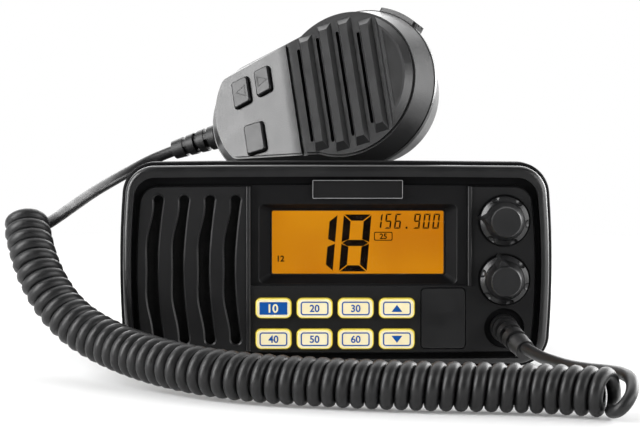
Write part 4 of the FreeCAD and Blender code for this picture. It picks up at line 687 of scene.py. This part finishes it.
# Millimetres again; an overlap is how far a print reaches back into what carries it.
keyFaceLook = {
    "columns": 4, "firstX": -23.1, "pitchX": 15.2, "topZ": 22.1, "pitchZ": 11.4, "front": 0.8,
    "width": 12.15, "height": 6.5, "corner": 1.6, "rise": 0.06, "print": 0.04,
    "capOverlap": 0.1, "overlap": 0.02,
    "frameWidth": 10.3, "frameHeight": 5.1, "frameCorner": 1.1, "line": 0.48,
    "plateHeight": 4.692, "plateCorner": 0.35, "arrow": ((-2.0, -1.3), (2.0, -1.3), (0, 1.35)),
    "figureHeight": 2.75, "firstFigure": 3.2, "bold": 0.022,
    "marks": ("10", "20", "30", "up", "40", "50", "60", "down"),
}


def makeKeyFaces(look):
    # cream cap of each key with its printed frame and mark; the first has a solid plate for a frame
    cap = look["front"] - look["rise"]
    ink = cap - look["print"]
    base = cap + look["overlap"]
    wide, high, corner, line = look["frameWidth"], look["frameHeight"], look["frameCorner"], look["line"]
    outer = roundedRect(wide, high, corner)
    inner = roundedRect(wide - 2 * line, high - 2 * line, corner - line)
    capShape = roundedRect(look["width"], look["height"], look["corner"])
    for i, mark in enumerate(look["marks"]):
        row, column = divmod(i, look["columns"])
        centre = (look["firstX"] + column * look["pitchX"], look["topZ"] - row * look["pitchZ"])
        bm = bmesh.new()
        slab(bm, capShape, centre, look["front"] + look["capOverlap"], cap)
        if i == 0:
            slab(bm, roundedRect(wide, look["plateHeight"], look["plateCorner"]), centre, base, ink, 1)
            top = ink - look["print"]
            figures(bm, mark, look["firstFigure"], centre, ink + look["overlap"], top, 0, look["bold"])
        else:
            ring(bm, outer, inner, centre, base, ink, 1)
        if mark in ("up", "down"):
            way = 1 if mark == "up" else -1
            slab(bm, [(u, v * way) for u, v in look["arrow"]], centre, base, ink, 1)
        elif i:
            figures(bm, mark, look["figureHeight"], centre, base, ink, 1, look["bold"])
        name = "keyFace" + str(i + 1)
        piece = newPiece(name, placed(bm, name, onRadio), "key" + str(i + 1))
        piece.data.materials.append(materials["keyFace"])
        piece.data.materials.append(materials["keyInk"])


makeKeyFaces(keyFaceLook)

# Thin bright edge of the bare plate over the display, and the narrow moulded lip that holds the window.
edgeLooks = {
    "plateLine": {"middle": (8.0, 66.05), "outer": (33.3, 6.8, 0.4), "inner": (32.84, 6.34, 0.24),
                  "back": 1.85, "front": 1.77, "slot": "badge_metal", "finish": "plateEdge"},
    "windowLip": {"middle": (8.1, 46.2), "outer": (64.3, 24.0, 0.9), "inner": (63.66, 23.36, 0.58),
                  "back": 8.78, "front": 8.5, "slot": "case_plastic", "finish": "windowEdge"},
}


def makeEdges(looks):
    # outer and inner outlines are width, height and corner
    for name, look in looks.items():
        bm = bmesh.new()
        outer, inner = roundedRect(*look["outer"]), roundedRect(*look["inner"])
        ring(bm, outer, inner, look["middle"], look["back"], look["front"])
        piece = newPiece(name, placed(bm, name, onRadio), "radio")
        piece.data.materials.append(materials[look["finish"]])


makeEdges(edgeLooks)

# In millimetres on the microphone's face; back and front are heights over it with the sign turned.
arrowLook = {
    "down": {"middle": (-43.2, 8.7), "way": -1}, "up": {"middle": (-33.4, 10.7), "way": 1},
    "reach": 2.3, "half": 2.5, "innerShare": 0.685, "innerShift": 0.12, "back": -1.65, "front": -1.76,
}


def makeArrows(look):
    # plain arrow outline on each of the microphone's two sloping buttons
    lay = onHandset @ Matrix.Rotation(math.radians(-90), 4, "X")
    reach, half, share = look["reach"], look["half"], look["innerShare"]
    for name in ("down", "up"):
        way = look[name]["way"]
        bm = bmesh.new()
        outer = [(reach * way, 0), (-reach * way, half), (-reach * way, -half)]
        inner = [(u * share - look["innerShift"] * way, v * share) for u, v in outer]
        ring(bm, outer, inner, look[name]["middle"], look["back"], look["front"])
        title = name + "Arrow"
        piece = newPiece(title, placed(bm, title, lay), name + "_button")
        piece.data.materials.append(materials["arrowInk"])


makeArrows(arrowLook)
print("display, keys and marks done")


def seenRays(tree):
    # what the camera sees straight, and what it sees in a mirror or through glass
    path = addNode(tree, "ShaderNodeLightPath")
    ways = {0: path.outputs["Is Glossy Ray"], 1: path.outputs["Is Transmission Ray"]}
    mirror = addNode(tree, "ShaderNodeMath", ways, operation="MAXIMUM").outputs[0]
    return path.outputs["Is Camera Ray"], mirror


floorLook = {
    "size": 16.0, "colour": (0.90, 0.90, 0.90, 1), "cameraShade": (0.72, 0.72, 0.72, 1), "cameraGlow": 0.13,
    "fade": (0.22, 0.44), "mirror": (-0.6, -0.1),
}


def makeFloor(look):
    # white to the camera, with the radio's shadow kept near it and fading out further off;
    # mirrors see that white beside and behind the radio, and the plain floor in front of it
    bm = bmesh.new()
    half = look["size"] / 2
    bm.faces.new([bm.verts.new((x * half, y * half, 0)) for x, y in ((-1, -1), (1, -1), (1, 1), (-1, 1))])
    mesh = bpy.data.meshes.new("floor")
    bm.to_mesh(mesh)
    bm.free()
    floor = bpy.data.objects.new("floor", mesh)
    scene.collection.objects.link(floor)
    mat = bpy.data.materials.new("paleFloor")
    mat.use_nodes = True
    tree = mat.node_tree
    tree.nodes.clear()
    where = addNode(tree, "ShaderNodeTexCoord").outputs["Object"]
    reach = addNode(tree, "ShaderNodeVectorMath", {0: where}, operation="LENGTH").outputs["Value"]
    away = ranged(tree, reach, 0, 1, *look["fade"])
    plain = addNode(tree, "ShaderNodeBsdfDiffuse", {"Color": look["colour"]})
    shade = addNode(tree, "ShaderNodeBsdfDiffuse", {"Color": look["cameraShade"]})
    glow = addNode(tree, "ShaderNodeEmission", {"Color": (1, 1, 1, 1), "Strength": look["cameraGlow"]})
    near = addNode(tree, "ShaderNodeAddShader", {0: shade.outputs[0], 1: glow.outputs[0]})
    white = addNode(tree, "ShaderNodeEmission", {"Color": (1, 1, 1, 1), "Strength": 1.0})
    seen = addNode(tree, "ShaderNodeMixShader", {0: away, 1: near.outputs[0], 2: white.outputs[0]})
    depth = addNode(tree, "ShaderNodeSeparateXYZ", {"Vector": where}).outputs["Y"]
    camera, mirror = seenRays(tree)
    share = ranged(tree, depth, 0, 1, *look["mirror"])
    shown = addNode(tree, "ShaderNodeMath", {0: mirror, 1: share}, operation="MULTIPLY").outputs[0]
    eye = addNode(tree, "ShaderNodeMath", {0: camera, 1: shown}, operation="MAXIMUM").outputs[0]
    both = addNode(tree, "ShaderNodeMixShader", {0: eye, 1: plain.outputs[0], 2: seen.outputs[0]})
    addNode(tree, "ShaderNodeOutputMaterial", {"Surface": both.outputs[0]})
    mesh.materials.append(mat)


makeFloor(floorLook)

worldLook = {"room": 0.03, "behind": 1.0, "soft": 0.18, "turn": (-0.25, 0.45)}


def setWorld(look):
    # white to the camera; mirrors see a white backdrop behind and a dim room in front
    world = bpy.data.worlds.new("studio")
    scene.world = world
    world.use_nodes = True
    tree = world.node_tree
    tree.nodes.clear()
    where = addNode(tree, "ShaderNodeTexCoord").outputs["Generated"]
    depth = addNode(tree, "ShaderNodeSeparateXYZ", {"Vector": where}).outputs["Y"]
    level = ranged(tree, depth, look["room"], look["behind"], *look["turn"])
    camera, mirror = seenRays(tree)
    dull = addNode(tree, "ShaderNodeMix", {0: mirror, 2: look["soft"], 3: level}).outputs[0]
    strength = addNode(tree, "ShaderNodeMix", {0: camera, 2: dull, 3: 1.0}).outputs[0]
    back = addNode(tree, "ShaderNodeBackground", {"Color": (1, 1, 1, 1), "Strength": strength})
    addNode(tree, "ShaderNodeOutputWorld", {"Surface": back.outputs[0]})


setWorld(worldLook)

# Soft boxes: places, targets and sizes in metres, power in watts.
lamps = {
    "topBox": {"place": (0.0, 0.50, 0.85), "target": (0, -0.02, 0.05), "size": (1.3, 0.8), "power": 5.0},
    "backBox": {"place": (0.0, 1.0, 0.50), "target": (0, -0.05, 0.04), "size": (1.4, 0.35), "power": 7.0},
    "leftBox": {"place": (-0.62, -0.27, 0.32), "target": (0, 0, 0.08), "size": (0.32, 0.70), "power": 7.8},
    "rightBox": {"place": (0.72, 0.46, 0.24), "target": (0, 0, 0.08), "size": (0.6, 0.6), "power": 11.5},
    "rightWide": {"place": (0.84, -0.50, 0.36), "target": (0, 0, 0.06), "size": (1.0, 0.62), "power": 9.0},
    "frontFill": {"place": (0.0, -1.2, 1.0), "target": (0, 0, 0.05), "size": (1.0, 0.4), "power": 0.5},
}


def hangLamps(looks):
    for name, look in looks.items():
        data = bpy.data.lights.new(name, "AREA")
        data.shape = "RECTANGLE"
        data.size, data.size_y = look["size"]
        data.energy = look["power"]
        lamp = bpy.data.objects.new(name, data)
        lamp.location = look["place"]
        aim = Vector(look["target"]) - Vector(look["place"])
        lamp.rotation_euler = aim.to_track_quat("-Z", "Y").to_euler()
        lamp.visible_camera = False
        scene.collection.objects.link(lamp)


hangLamps(lamps)
print("floor, world and lamps done")
